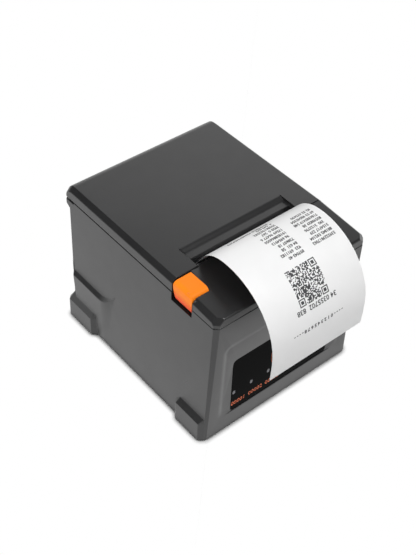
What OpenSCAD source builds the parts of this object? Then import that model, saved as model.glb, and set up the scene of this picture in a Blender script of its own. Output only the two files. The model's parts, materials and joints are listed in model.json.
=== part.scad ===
// Compact clamshell receipt printer for 80 mm paper, with a printed receipt hanging from its slot.
// X runs across the printer, the front faces -Y, and Z is up from the surface that it stands on.

/* [Case] */
// Room beside the paper on each side for plates, gears and lever, out to the case's top edge
side_room = 23.5; // [22.5:0.5:30]
// Depth of the case from the front face to the rear edge of the lid
case_d = 159; // [158:1:178]
// Height of the case above the surface that it stands on
case_h = 121; // [120:1:134]
// Wall thickness of the mouldings
wall = 2.5; // [2:0.1:3]
// Height of the lid skirt above the seam
skirt_h = 10; // [9.5:0.5:12]
// Outward slope of the side walls, in degrees
side_draft = 1.1; // [0.5:0.1:1.5]
// Backward slope of the front face, in degrees
front_lean = 1.8; // [1:0.1:2.4]
// Chamfer along the top edges
edge_c = 3.2; // [2.6:0.1:3.6]
// Radius of the top front edge
nose_r = 1.6; // [1:0.1:2.4]
// Radius of the lid's rear top edge
rear_r = 7.5; // [7.2:0.1:9]
// Chamfer on the upright front corners
corner_c = 3; // [2:0.1:4]
// Chamfer on the upright rear corners
rear_c = 0.9; // [0.5:0.1:2]
// Setback of the rear wall under its collar
rear_step = 4.7; // [4:0.1:5.4]
// Height of the open groove along the seam
seam_gap = 0.5; // [0.4:0.1:0.8]
// Height of the case bottom above the surface that it stands on
ground_gap = 1; // [0.6:0.1:1.6]
// Depth of the front cover from the front face to the lid
cap_d = 42.6; // [42:0.1:44]
// Fall of the front cover's top towards the front
cap_fall = 3.2; // [2:0.1:3.6]
// Depth of the hollow across the front cover's top
dish_d = 2.5; // [1:0.1:2.8]

/* [Corner feet] */
// Outward step of the front feet
foot_out = 3.2; // [2:0.1:5]
// Height of the front feet below their sloped shoulder
foot_h = 17.5; // [14:0.5:24]
// Height of the shoulder on the front feet
foot_slope = 4.4; // [2:0.2:6]
// Length of the front feet
foot_len = 30; // [20:1:36]
// Outward step of the rear feet
heel_out = 3.6; // [3:0.1:6]
// Height of the rear feet below their sloped shoulder
heel_h = 16.6; // [14:0.2:22]
// Height of the shoulder on the rear feet
heel_slope = 7.4; // [4:0.2:8]
// Length of the rear feet
heel_len = 33; // [24:1:38]
// Outward swell of the rear flanks above the rear feet
swell_out = 2.4; // [1:0.1:3]
// Height of the ledge on top of the swell
ledge_z = 43.8; // [36:0.2:50]
// Height of the ledge's slope
ledge_h = 3.2; // [2:0.1:5]

/* [Front panel] */
// Width of the gloss window
window_w = 88; // [80:1:92]
// Height of the gloss window
window_h = 50; // [46:1:54]
// Height of the window's lower edge
window_z = 16.5; // [14:0.5:18]
// Radius of the window's corners
window_r = 3; // [1:0.5:5]
// Sideways reach of the sloped recess round the window
bevel_side = 9.75; // [8:0.25:12]
// Upward reach of the sloped recess over the window
bevel_top = 20.8; // [16:0.2:24]
// Diameter of the feed button
button_d = 14; // [10:0.5:16]
// Travel of the feed button
button_travel = 0.8; // [0.4:0.1:1]

/* [Lever] */
// Length of the release lever along the case
lever_l = 19; // [18:0.5:21]
// Reach of the lever down the side
lever_drop = 15; // [13:0.5:16]
// Thickness of the lever's skin
lever_t = 2.5; // [2:0.1:3]
// Diameter of the lever's pin
lever_pin_d = 2.5; // [2:0.1:2.8]

/* [Paper] */
// Width of the paper
paper_w = 80; // [74:0.5:82]
// Thickness of the modelled paper
paper_t = 0.2; // [0.1:0.05:0.3]
// Outer diameter of the paper roll
roll_d = 76; // [60:1:76]
// Outer diameter of the cardboard core
core_d = 19; // [17:0.5:26]
// Bore of the cardboard core
core_bore = 13; // [12:0.5:15]
// Angle at which the paper rises from the slot, in degrees
exit_angle = 60; // [56:1:64]
// Straight rise of the receipt above the slot
receipt_rise = 4.5; // [2:0.5:8]
// Width of the paper slot
slot_w = 86; // [84:0.5:90]

/* [Mechanism] */
// Diameter of the platen roller
platen_d = 14; // [12:0.5:15]
// Diameter of the platen shaft
shaft_d = 6; // [5:0.1:6]
// Depth of the print line below the top face
nip_drop = 21; // [20:0.5:23]
// Gear module
gear_m = 0.8; // [0.7:0.05:0.85]
// Face width of the gears
gear_w = 4.5; // [3:0.5:5]
// Diameter of the stepper motor
motor_d = 25; // [20:0.5:25]
// Length of the stepper motor
motor_l = 20; // [14:0.5:24]
// Thickness of the chassis sheet
sheet_t = 1.5; // [1.2:0.1:1.8]
// Thickness of the cutter blades
blade_t = 0.8; // [0.5:0.1:1]
// Travel of the moving blade
blade_travel = 6; // [5:0.5:6.5]
// Diameter of the latch shaft
latch_d = 5; // [4:0.1:5]

/* [Board] */
// Height of the underside of the main board
board_z = 8; // [7:0.5:9]
// Thickness of the circuit boards
board_t = 1.6; // [1.2:0.1:2]
// Width of the main board
board_w = 76; // [72:1:78]

/* [Hidden] */
$fn = 64;
fit = 0.03;        // a piece seated in its own hole
run = 0.05;        // a shaft turning in its bush
gap = 0.3;         // parts that pass one another
nudge = 1;         // overshoot of a cut past a face

// Free receipt: bends after the straight rise, each a radius and a turn in degrees
receipt_bends = [[24, 55], [46, 92], [144, 8.5]];
function forward(heading, i = 0) = i == len(receipt_bends) ? 0 :
    let (next = heading + receipt_bends[i][1])
    receipt_bends[i][0] * (sin(min(heading, 270)) - sin(min(next, 270))) + forward(next, i + 1);
web_lead = 3;
receipt_reach = receipt_rise * cos(exit_angle) + forward(180 - exit_angle) - web_lead - cap_d;

// Case planes, set so that case and receipt together stand centred on the origin
front_y = (receipt_reach - case_d) / 2;
rear_y = front_y + case_d;
wall_y = rear_y - rear_step;
seam_z = case_h - skirt_h;
seam_y = front_y + cap_d;
case_w = paper_w + 2 * side_room;
flare = tan(side_draft);
lean = tan(front_lean);
function side_x(z) = case_w / 2 + flare * (case_h - z);
function face_y(z) = front_y + lean * (case_h - z);
beyond_c = 1;
outer_c = edge_c + beyond_c;
inner_c = edge_c - (2 - sqrt(2)) * wall + beyond_c;
floor_t = wall;
floor_z = ground_gap + floor_t;

// Lid hinge: its axis lies just inside the rear edge, above the seam
hinge_in = 4;
hinge_up = 4.5;
hinge = [rear_y - hinge_in, seam_z + hinge_up];
hinge_pin_d = 3;
knuckle_r = 3;
ear_w = 5;
ear_x = case_w / 2 - 16.5;
knuckle_w = 6;
skirt_sweep = norm([hinge_in, hinge_up - gap]);
rim_z = hinge[1] - skirt_sweep - 2 * gap;
rim_y = hinge[0] - skirt_sweep;
collar_z = seam_z - 4.8;
collar_slope = 3;

// Paper path: a straight run through the print line and the slot
function rise(a) = [-cos(a), sin(a)];
web_dir = rise(exit_angle);
web_out = [sin(exit_angle), cos(exit_angle)];
exit_y = seam_y + web_lead;
function web_y(z) = exit_y + (case_h - z) / tan(exit_angle);
slot_back = seam_y + 9.4;
slot_front = seam_y + 2.2;
nip = [web_y(case_h - nip_drop), case_h - nip_drop];
platen = nip + (platen_d / 2 + gap + paper_t / 2) * web_out;
guide_drop = 10;
guide_r = 5;
guide = nip - guide_drop * web_dir;

// Paper bin and roll
bin_wall = 2;
bin_x = paper_w / 2 + 1;
bin_r = roll_d / 2 + 4.5;
bin_y = guide[0] - paper_t / 2 - gap + bin_r;
parts_h = 9.5;
bin_z = board_z + board_t + parts_h + gap + bin_wall + bin_r;
bin_top = nip[1] - 6;
bin_lip = nip[1] - 12;
roll = [bin_y, bin_z - bin_r + roll_d / 2 + gap];
deck_t = 2.5;
deck_front = seam_y - 26;
bin_front = bin_y - bin_r - bin_wall;
bin_back = bin_y + bin_r + bin_wall;

// Stations across the mechanism, outward from the paper
cheek_x = paper_w / 2 + 2.4;
cheek_t = 2.4;
frame_x = cheek_x + cheek_t + 0.7;
hook_x = frame_x + sheet_t + 1.2;
hook_t = 2.5;
gear_x = hook_x + hook_t + 0.8;
bush_d = shaft_d + 3;
frame_screw_x = frame_x - 5;
frame_screw_y = [deck_front + 5, bin_front - 5];
small_screw_d = 2.5;
small_screw_hole = 2.9;

// Gear train: motor pinion, idler and platen gear
pinion_n = 12;
idler_n = 40;
platen_n = 20;
function pitch_r(n) = gear_m * n / 2;
lid_arm = platen - hinge;
idler_dir = [-lid_arm[1], lid_arm[0]] / norm(lid_arm);
idler = platen + (pitch_r(platen_n) + pitch_r(idler_n)) * idler_dir;
motor_angle = 190;
motor = idler + (pitch_r(idler_n) + pitch_r(pinion_n)) * [cos(motor_angle), sin(motor_angle)];
idler_phase = atan2(-idler_dir[1], -idler_dir[0]);
platen_phase = idler_phase + 180 + 180 / platen_n;
idler_step = 360 / idler_n;
mesh_turn = motor_angle - idler_phase;
mesh_shift = mesh_turn - floor(mesh_turn / idler_step) * idler_step;
pinion_phase = motor_angle + 180 + 180 / pinion_n + mesh_shift * idler_n / pinion_n;
motor_shaft_d = 2;
axle_d = 4;
deck_z = motor[1] - motor_d / 2 - 3.8;

// Print head, seen along the paper: local Y points at the platen and local Z up the paper
head_w = paper_w + 6;
head_gap = 0.05;
head_t = 1.2;
sink_t = 5;
head_up = 5;
head_down = 8;
sink_back = paper_t / 2 + head_gap + head_t + sink_t;
spring_l = 7.5;
spring_d = 5;
spring_x = 0.31 * paper_w;
tab_z = [-8, -4];
tab_y = [-5, -2.2];

// Cutter
blade_z = case_h - 11;
tray_t = 2;
tray_z = blade_z - blade_t / 2 - gap - tray_t;
tray_x = frame_x + sheet_t;
rail_x = paper_w / 2 + 3.4;
rail_h = 2.2;
blade_tip = web_y(blade_z) - 2.6;
vee = 2.5;
tab_w = 3;
cut_h = blade_t + 2 * gap;
cutter_n = 12;
cutter_tip = pitch_r(cutter_n) + 0.75 * gear_m;
cutter_x = -0.35 * paper_w;
cutter_y = blade_tip - 25.4;
cutter_d = 15;
cutter_l = 24;
cutter_shaft_d = 2.5;
rack_p = PI * gear_m;
rack_n = ceil(blade_travel / rack_p) + 2;
rack_y = cutter_y - (rack_n - 1) * rack_p;
blade_back = rack_y - 1;
tray_front = blade_back - 3;
tray_back = blade_tip - 1.2;
cover_z = tray_z + tray_t + rail_h;

// Lid: its lip behind the slot and the moulding inside it
lip_under = case_h - 5.2;
beam_z = blade_z + blade_t / 2 + 2.3;
panel_top = case_h - wall;
panel_t = 3;
panel_front = slot_back + 12.8;
panel_rear = rear_y - 14;
panel_x = cheek_x + cheek_t;
lid_screw_x = panel_x - 6;
lid_screw_y = [panel_front + 12, panel_rear - 8];

// Lever, link and latch: a parallel linkage
lever_front = seam_y - gap - lever_l;
lever_eye = 3.6;
lever_pivot = [lever_front + lever_eye, case_h - lever_eye];
lever_in = tray_x + 3;
lever_reach = seam_y - 1.1 - lever_pivot[0];
crank = [10, -6];
crank_pin_d = 3;
latch = [seam_y - 6.6, nip[1] - 10];
lever_arm = lever_pivot + crank;
latch_arm = latch + crank;
lug_x = -lever_in - 4.5;
lug_t = 2.5;
link_t = 2;
link_gap = 0.4;

// Front panel
recess_y = face_y(window_z) + 0.5;
flange_t = 1.5;
flange = 2;
lip_y = recess_y + wall;
button_x = 8;
button_z = window_z + 31;
led_x = [for (i = [0:2]) 2.1 + i * 15.2 - window_w / 2];
led_z = window_z + 18;
led_w = 2.2;
led_h = 3.4;
stem_y = recess_y + 4;
switch_y = stem_y + button_travel + 0.4;
switch_h = 3.5;
panel_y = switch_y + switch_h;
panel_w = window_w - 2;
post_x = window_w / 2 - 9;
post_z = [window_z + 4.5, window_z + window_h - 4.5];

// Rear sockets: place across, width, height and depth
board_top = board_z + board_t;
board_rear = wall_y - wall - 1.2;
jack = [-31, 9, 11, 14];
usb = [-14, 12, 11, 16];
lan = [6, 16, 13.5, 21];
drawer = [27, 13, 12.5, 18];
socket_face = wall_y - 0.4;
switch_x = (bin_x + bin_wall + case_w / 2 - wall) / 2;
rocker_z = 42;
rocker_w = 10;
rocker_h = 17;
rocker_pivot = [wall_y - 1, rocker_z];
rocker_tilt = 7;

// Screws and feet
screw_d = 3;
head_d = 5.6;
head_h = 1.4;
boss_d = 8;
boss_x = side_x(0) - 8.2;
boss_y = [front_y + 18, rear_y - 16];
pad_d = 12;
pad_h = ground_gap + 1;
pad_x = case_w / 2 - 11.5;
pad_y = [front_y + 32, rear_y - 30];
stand_x = board_w / 2 - 4;
stand_y = [bin_front - 8, rear_y - 28];

// Shapes used by many pieces

function arc(c, r, from, to, n = 8) =
    [for (i = [0:n]) c + r * [cos(from + (to - from) * i / n), sin(from + (to - from) * i / n)]];

function round_rect(lo, hi, r) = concat(
    arc([hi[0] - r, hi[1] - r], r, 0, 90, 6),
    arc([lo[0] + r, hi[1] - r], r, 90, 180, 6),
    arc([lo[0] + r, lo[1] + r], r, 180, 270, 6),
    arc([hi[0] - r, lo[1] + r], r, 270, 360, 6));

// Points that swing smoothly from one value to another along a straight run
function ease(from, to, n = 12) = [
    for (i = [0:n]) let (t = i / n)
    [from[0] + (to[0] - from[0]) * (1 - cos(180 * t)) / 2, from[1] + (to[1] - from[1]) * t]];

// Straight-flanked teeth with working clearance
function gear_outline(n) = [
    for (i = [0:n - 1], p = [[-1.3, -1.2], [-0.4, 0.75], [0.4, 0.75], [1.3, -1.2]])
    let (a = (i * 4 + p[0]) * 90 / n, r = pitch_r(n) + p[1] * gear_m)
    r * [cos(a), sin(a)]];

module along_x(x0, x1) {
    translate([x0, 0, 0]) rotate([90, 0, 90]) linear_extrude(x1 - x0) children();
}

module along_y(y0, y1) {
    translate([0, y1, 0]) rotate([90, 0, 0]) linear_extrude(y1 - y0) children();
}

module along_z(z0, z1) {
    translate([0, 0, z0]) linear_extrude(z1 - z0) children();
}

module block(lo, hi) {
    translate(lo) cube(hi - lo);
}

module rod_x(x0, x1, at, d) {
    translate([x0, at[0], at[1]]) rotate([0, 90, 0]) cylinder(d = d, h = x1 - x0);
}

module rod_y(y0, y1, x, z, d) {
    translate([x, y1, z]) rotate([90, 0, 0]) cylinder(d = d, h = y1 - y0);
}

module rod_z(z0, z1, x, y, d) {
    translate([x, y, z0]) cylinder(d = d, h = z1 - z0);
}

module both_sides() {
    children();
    mirror([1, 0, 0]) children();
}

module at_nip() {
    translate([0, nip[0], nip[1]]) rotate([90 - exit_angle, 0, 0]) children();
}

// Flared side walls of the case, thinned by an inset
module case_sides(inset) {
    low = side_x(0) - inset;
    high = side_x(case_h + nudge) - inset;
    along_y(front_y - nudge, rear_y + nudge)
        polygon([[low, 0], [high, case_h + nudge], [-high, case_h + nudge], [-low, 0]]);
}

// Outline of the case seen from above, with chamfered corners
function case_plan(inset) = let (
    bend = 2 - sqrt(2),
    x = case_w / 2 - inset,
    x0 = x - corner_c + bend * inset,
    x1 = x - rear_c + bend * inset,
    y0 = front_y + inset,
    y1 = rear_y - inset,
    m = 12)
    [[-x0, y0], [x0, y0], [x + m, y0 + x - x0 + m], [x + m, y1 - x + x1 - m],
     [x1, y1], [-x1, y1], [-x - m, y1 - x + x1 - m], [-x - m, y0 + x - x0 + m]];

// Everything inside the case walls, thinned by an inset
module case_bulk(inset) {
    intersection() {
        case_sides(inset);
        along_z(0, case_h + nudge) polygon(case_plan(inset));
    }
}

// A side view across the case, its long edges chamfered to a second view at the ends,
// which lie a little outside the side walls
module chamfered(view, end_view, inset, c) {
    reach = side_x(seam_z) - inset + beyond_c;
    hull() {
        along_x(c - reach, reach - c) polygon(view);
        along_x(-reach, reach) polygon(end_view);
    }
}

// Base housing

function housing_side_view() = [
    [face_y(ground_gap), ground_gap], [face_y(seam_z), seam_z], [rim_y, seam_z], [rim_y, rim_z],
    [rear_y, rim_z], [rear_y, collar_z], [wall_y, collar_z - collar_slope], [wall_y, ground_gap]];

function hollow_side_view() = let (
    bend = window_z + window_h + flange + 1,
    over = window_z + window_h + bevel_top + 3)
    [[lip_y, 0], [lip_y, bend], [face_y(over) + wall, over], [face_y(seam_z) + wall, seam_z + nudge],
     [wall_y - wall, seam_z + nudge], [wall_y - wall, 0]];

// A foot: plan outlines stacked at three heights
module foot(levels) {
    hull() for (level = levels) along_z(level[0], level[0] + 0.05) polygon(level[1]);
}

module front_foot() {
    root = 0.4;
    top = foot_h + foot_slope * (1 + root / foot_out);
    front = face_y(ground_gap) + 0.8;
    rear = front + foot_len;
    inside = 5;
    c = 3;
    tail = 4;
    function plan(x) = [
        [x - inside - foot_out, front], [x - c, front], [x, front + c], [x, rear - c],
        [x - 1.25 * foot_out, rear + 0.25 * c], [x - inside - foot_out, rear]];
    x = side_x(top) - root;
    y = face_y(top) + 0.8 + root;
    corner = case_w / 2 - corner_c - front_y - sqrt(2) * root;
    foot([
        [ground_gap, plan(side_x(ground_gap) + foot_out)],
        [foot_h, plan(side_x(foot_h) + foot_out)],
        [top, [
            [x - inside, y], [y + corner, y], [x, x - corner], [x, rear - tail],
            [x - inside, rear - tail]]]]);
}

module rear_foot() {
    root = 0.4;
    top = heel_h + heel_slope * (1 + root / heel_out);
    front = rear_y - heel_len;
    inside = 5;
    c = 2.5;
    tail = 3.8;
    wrap = 14;
    function plan(x) = [
        [x - heel_out - inside, front - 0.25 * tail], [x - 1.25 * heel_out, front - 0.25 * tail],
        [x, front + tail], [x, rear_y - c], [x - c, rear_y], [x - heel_out - wrap, rear_y],
        [x - heel_out - wrap - rear_step, wall_y - nudge]];
    x = side_x(top) - root;
    y = front + tail;
    foot([
        [ground_gap, plan(side_x(ground_gap) + heel_out)],
        [heel_h, plan(side_x(heel_h) + heel_out)],
        [top, [[x - inside, y], [x, y], [x, wall_y - root], [x - wrap - rear_step, wall_y - root]]]]);
}

// Swelling of the rear flank: a ledge that curls up, and fades towards the front and the floor
module rear_swell() {
    front = wall_y - 57;
    rear = wall_y - 0.5;
    fade = [3.9, 22];
    curl_r = 25;
    curl_y = front + curl_r + 1;
    inside = 6;
    beyond = 2 * swell_out;
    low = side_x(0);
    mid = side_x(ledge_z);
    tilt = atan(swell_out / ledge_z - flare);
    slope = ledge_h / (swell_out + flare * ledge_h);
    function ledge_at(x) = ledge_z - (x - mid - swell_out) * slope;
    difference() {
        intersection() {
            block([mid - inside, front, ground_gap], [mid + beyond, rear, ledge_z + 0.8 * curl_r]);
            translate([low, 0, 0]) rotate([0, tilt, 0]) along_z(-inside, case_h) polygon(concat(
                ease([-fade[0], front - nudge], [0, front + fade[1]]),
                [[0, rear - swell_out], [-swell_out, rear], [-inside, rear], [-inside, front - nudge]]));
        }
        // the flat of the wall inside the curl, and above the ledge behind it
        translate([mid, curl_y, ledge_z + ledge_h + curl_r - 0.1]) rotate([0, 90, 0])
            translate([0, 0, -inside]) cylinder(
                r1 = curl_r - inside * slope, r2 = curl_r + beyond * slope, h = inside + beyond);
        along_y(curl_y, rear + nudge) polygon([
            [mid + beyond + nudge, ledge_at(mid + beyond + nudge)], [mid - nudge, ledge_at(mid - nudge)],
            [mid - nudge, case_h], [mid + beyond + nudge, case_h]]);
    }
}

// Sloped recess that leads in to the window
module panel_recess() {
    top = window_z + window_h + bevel_top;
    side = window_w / 2 + bevel_side;
    r = 5;
    outline = concat(
        [[-window_w / 2 - 3, window_z], [-side, window_z + 5.5]],
        arc([-side + r, top - r], r, 180, 90),
        arc([side - r, top - r], r, 90, 0),
        [[side, window_z + 5.5], [window_w / 2 + 3, window_z]]);
    hull() {
        translate([0, front_y, case_h]) rotate([90 + front_lean, 0, 0]) linear_extrude(0.05)
            polygon([for (p = outline) p - [0, case_h]]);
        along_y(recess_y - 0.05, recess_y) polygon(window_outline(0));
    }
}

function window_outline(grow) = round_rect(
    [-window_w / 2 - grow, window_z - grow], [window_w / 2 + grow, window_z + window_h + grow],
    window_r + max(grow, 0));

module hinge_ear() {
    difference() {
        union() {
            rod_x(ear_x, ear_x + ear_w, hinge, 2 * knuckle_r);
            block([ear_x, wall_y - wall - 2, collar_z],
                  [ear_x + ear_w, hinge[0] + knuckle_r - 0.4, hinge[1]]);
        }
        rod_x(ear_x - nudge, ear_x + ear_w + nudge, hinge, hinge_pin_d + 2 * fit);
    }
}

module case_boss(y) {
    difference() {
        union() {
            rod_z(floor_z, floor_z + 16, boss_x, y, boss_d);
            block([boss_x, y - 1.5, floor_z], [side_x(ground_gap) - 1, y + 1.5, floor_z + 14]);
        }
        rod_z(floor_z - nudge, floor_z + 12, boss_x, y, screw_d + 2 * fit);
    }
}

module socket_cut(s) {
    clear = 0.4;
    block([s[0] - s[1] / 2 - clear, wall_y - wall - nudge, board_top - clear],
          [s[0] + s[1] / 2 + clear, rear_y + nudge, board_top + s[2] + clear]);
}

module base_housing() color([0.25, 0.25, 0.26]) {
    difference() {
        union() {
            intersection() {
                case_bulk(0);
                along_x(-case_w, case_w) polygon(housing_side_view());
            }
            both_sides() {
                front_foot();
                rear_foot();
                rear_swell();
            }
        }
        intersection() {
            case_bulk(wall);
            along_x(-case_w, case_w) polygon(hollow_side_view());
        }
        panel_recess();
        along_y(recess_y - nudge, lip_y + nudge) polygon(window_outline(0));
        // groove along the seam
        difference() {
            block([-case_w, 2 * front_y, seam_z - seam_gap], [case_w, rim_y + nudge, seam_z + nudge]);
            case_bulk(nudge);
        }
        // finger pocket under the lever
        block([-case_w, lever_front - gap, case_h - lever_drop - 2],
              [-lever_in, seam_y + gap, seam_z + nudge]);
        for (s = [jack, usb, lan, drawer]) socket_cut(s);
        // opening for the power switch
        block([switch_x - rocker_w / 2 - 2, wall_y - wall - nudge, rocker_z - rocker_h / 2 - 2],
              [switch_x + rocker_w / 2 + 2, rear_y + nudge, rocker_z + rocker_h / 2 + 2]);
    }
    both_sides() {
        hinge_ear();
        for (y = boss_y) case_boss(y);
    }
}

module bottom_plate() color([0.16, 0.16, 0.17]) {
    x = side_x(ground_gap) - wall - gap;
    difference() {
        union() {
            intersection() {
                along_z(ground_gap, floor_z) polygon(case_plan(wall + gap));
                block([-x, lip_y + gap, 0], [x, wall_y - wall - gap, floor_z]);
            }
            for (x = [-stand_x, stand_x], y = stand_y) rod_z(floor_z, board_z, x, y, 6);
        }
        for (x = [-boss_x, boss_x], y = boss_y) {
            rod_z(0, floor_z + nudge, x, y, screw_d + 0.4);
            rod_z(0, ground_gap + head_h + 0.1, x, y, head_d + 0.6);
        }
        for (x = [-pad_x, pad_x], y = pad_y) rod_z(0, pad_h, x, y, pad_d + 2 * fit);
        for (x = [-stand_x, stand_x], y = stand_y)
            rod_z(floor_z - nudge, board_z + nudge, x, y, small_screw_d + 2 * fit);
    }
}

module rubber_feet() color([0.08, 0.08, 0.08]) {
    for (x = [-pad_x, pad_x], y = pad_y) {
        rod_z(0.6, pad_h, x, y, pad_d);
        translate([x, y, 0]) cylinder(d1 = pad_d - 1.2, d2 = pad_d, h = 0.6);
    }
}

module screw(d, head, head_t, l) {
    slot = 0.7;
    difference() {
        union() {
            cylinder(d = head, h = head_t);
            translate([0, 0, head_t]) cylinder(d = d, h = l);
        }
        for (a = [0, 90]) rotate([0, 0, a])
            block([-head / 3, -slot / 2, -nudge], [head / 3, slot / 2, slot]);
    }
}

module case_screws() color([0.6, 0.6, 0.62]) {
    for (x = [-boss_x, boss_x], y = boss_y)
        translate([x, y, ground_gap + 0.1]) screw(screw_d, head_d, head_h, 11);
}

// Front cover

function cap_tilt() = atan(cap_fall / (slot_front - front_y));
function cap_z(y) = case_h - tan(cap_tilt()) * (slot_front - y);

function cover_side_view(inset, rear) = let (
    r = max(nose_r - inset, 0.3),
    y = face_y(case_h - cap_fall) + inset + r,
    z = cap_z(y) - inset - r)
    concat(
        [[rear, 0], [rear, cap_z(rear) - inset]],
        arc([y, z], r, 90 + cap_tilt(), 180 + front_lean, 6),
        [[face_y(0) + inset, 0]]);

// Shallow hollow across the top of the cover, falling with it towards the front
module exit_dish(grow) {
    half = slot_w / 2 + 6;
    r = (pow(half, 2) + pow(dish_d, 2)) / (2 * dish_d);
    translate([0, slot_front, case_h - dish_d + r / cos(cap_tilt())]) rotate([90 + cap_tilt(), 0, 0])
        translate([0, 0, -cap_d]) cylinder(r = r + grow, h = 3 * cap_d, $fn = 720);
}

module front_cover() color([0.25, 0.25, 0.26]) {
    pocket_x = -lever_in + gap;
    pocket_t = 1.5;
    pocket_z = case_h - wall;
    inner = wall + 0.2;
    end = slot_front - wall;
    difference() {
        union() {
            difference() {
                intersection() {
                    case_sides(0);
                    chamfered(cover_side_view(0, slot_front), cover_side_view(outer_c, slot_front),
                              0, outer_c);
                    block([-case_w, 2 * front_y, seam_z], [case_w, rear_y, case_h + nudge]);
                }
                difference() {
                    intersection() {
                        case_sides(wall);
                        chamfered(cover_side_view(wall, end), cover_side_view(wall + inner_c, end),
                                  wall, inner_c);
                    }
                    exit_dish(wall);
                }
            }
            // walls of the lever's pocket and the boss for its pin
            block([pocket_x, lever_front - gap, seam_z], [pocket_x + pocket_t, seam_y - gap, pocket_z]);
            block([-case_w / 2 + 1, lever_front - gap - pocket_t, seam_z],
                  [pocket_x + pocket_t, lever_front - gap, pocket_z]);
            block([pocket_x, lever_pivot[0] - 3, lever_pivot[1] - lever_eye],
                  [pocket_x + 4, lever_pivot[0] + 3, pocket_z]);
        }
        exit_dish(0);
        // beside the slot the cover ends at the seam
        both_sides() block([slot_w / 2 - gap, seam_y - gap, seam_z - nudge],
                           [case_w, rear_y, case_h + nudge]);
        block([-case_w, lever_front - gap, seam_z - nudge], [pocket_x, seam_y + nudge, case_h + nudge]);
        rod_x(pocket_x - nudge, pocket_x + 3, lever_pivot, lever_pin_d + 2 * fit);
        // inside corner of the tongue that reaches the slot
        block([-slot_w / 2, slot_front - wall, seam_z - nudge],
              [slot_w / 2, slot_front + nudge, case_h - 6.5]);
    }
    // tongue that locates the cover inside the housing
    difference() {
        intersection() {
            case_bulk(inner);
            along_x(-case_w, case_w) polygon(cover_side_view(inner, seam_y - 12));
            block([-case_w, 2 * front_y, seam_z - 3], [case_w, rear_y, seam_z + 2]);
        }
        case_bulk(inner + 1.5);
        block([-slot_w / 2 - 6, face_y(0) + 12, 0], [case_w, rear_y, case_h]);
        block([-case_w, lever_front - gap - nudge, 0], [0, rear_y, case_h]);
    }
}

module front_window() color([0.03, 0.03, 0.035]) {
    clear = 0.15;
    difference() {
        union() {
            along_y(recess_y, lip_y) polygon(window_outline(-clear));
            along_y(lip_y, lip_y + flange_t) polygon(window_outline(flange));
            for (x = [-post_x, post_x], z = post_z) rod_y(lip_y, panel_y, x, z, 5);
        }
        rod_y(recess_y - nudge, lip_y + flange_t + nudge, button_x, button_z, button_d + 2 * gap);
        for (x = led_x) led_pill(x, recess_y - nudge, lip_y + flange_t + nudge, fit);
    }
}

module led_pill(x, y0, y1, grow) {
    w = led_w + 2 * grow;
    half = (led_h - led_w) / 2;
    for (s = [-half, half]) rod_y(y0, y1, x, led_z + s, w);
    block([x - w / 2, y0, led_z - half], [x + w / 2, y1, led_z + half]);
}

module led_lenses() color([0.75, 0.78, 0.8]) {
    for (x = led_x) led_pill(x, recess_y - 0.1, panel_y - 0.8, 0);
}

module panel_board() color([0.05, 0.3, 0.15]) {
    block([-panel_w / 2, panel_y, window_z + 1], [panel_w / 2, panel_y + board_t, window_z + window_h - 1]);
    for (x = led_x) block([x - 1, panel_y - 0.7, led_z - 0.6], [x + 1, panel_y, led_z + 0.6]);
}

module panel_switch() color([0.2, 0.2, 0.2]) {
    block([button_x - 3, switch_y + 1, button_z - 3], [button_x + 3, panel_y, button_z + 3]);
    rod_y(switch_y, switch_y + 1.2, button_x, button_z, 3);
}

module feed_button() color([0.1, 0.1, 0.1]) {
    difference() {
        union() {
            rod_y(recess_y - 0.9, recess_y + 2.6, button_x, button_z, button_d);
            rod_y(recess_y + 2, stem_y, button_x, button_z, 4);
        }
        translate([button_x, recess_y - 0.9 - 26.5, button_z]) sphere(r = 27, $fn = 96);
    }
}

// Paper bin and paper

module paper_bin() color([0.13, 0.13, 0.14]) {
    side = bin_x + bin_wall;
    difference() {
        union() {
            // end walls, deep enough to stand on the bottom plate
            for (x = [-side, bin_x]) along_x(x, x + bin_wall) polygon([
                [deck_front, floor_z], [bin_back, floor_z], [bin_back, bin_top], [bin_front + 10, bin_top],
                [bin_front + 4, bin_lip], [bin_front, bin_lip], [bin_front, deck_z], [deck_front, deck_z]]);
            // trough
            along_x(-side, side) difference() {
                union() {
                    translate([bin_y, bin_z]) circle(r = bin_r + bin_wall);
                    translate([bin_front, bin_z]) square([2 * (bin_r + bin_wall), bin_lip - bin_z]);
                }
                translate([bin_y, bin_z]) circle(r = bin_r);
                translate([bin_y - bin_r, bin_z]) square([2 * bin_r, bin_top]);
            }
            // deck that carries the print mechanism
            block([-side, deck_front, deck_z - deck_t], [side, bin_front + bin_wall / 2, deck_z]);
        }
        // slot for the head cable
        block([-20, bin_front - 6, deck_z - deck_t - nudge], [20, bin_front - 0.2, deck_z + nudge]);
        for (x = [-frame_screw_x, frame_screw_x], y = frame_screw_y)
            rod_z(deck_z - deck_t - nudge, deck_z + nudge, x, y, small_screw_d + 2 * fit);
        block([-board_w / 2 - 0.5, bin_back - 3, 0], [board_w / 2 + 0.5, bin_back + nudge, board_top + 16]);
    }
}

module paper_roll() color([0.95, 0.95, 0.94]) {
    difference() {
        rod_x(-paper_w / 2, paper_w / 2, roll, roll_d);
        rod_x(-paper_w / 2 - nudge, paper_w / 2 + nudge, roll, core_d + 2 * fit);
    }
}

module roll_core() color([0.7, 0.6, 0.45]) {
    difference() {
        rod_x(-paper_w / 2, paper_w / 2, roll, core_d);
        rod_x(-paper_w / 2 - nudge, paper_w / 2 + nudge, roll, core_bore);
    }
}

// Points along a bend to the left, each with its heading, from a point and a heading in degrees
function bend_path(from, heading, r, turn, first) = let (n = ceil(turn / 4)) [
    for (i = [first:n]) let (a = heading + turn * i / n)
    [from + r * [sin(a) - sin(heading), cos(heading) - cos(a)], a]];

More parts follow.
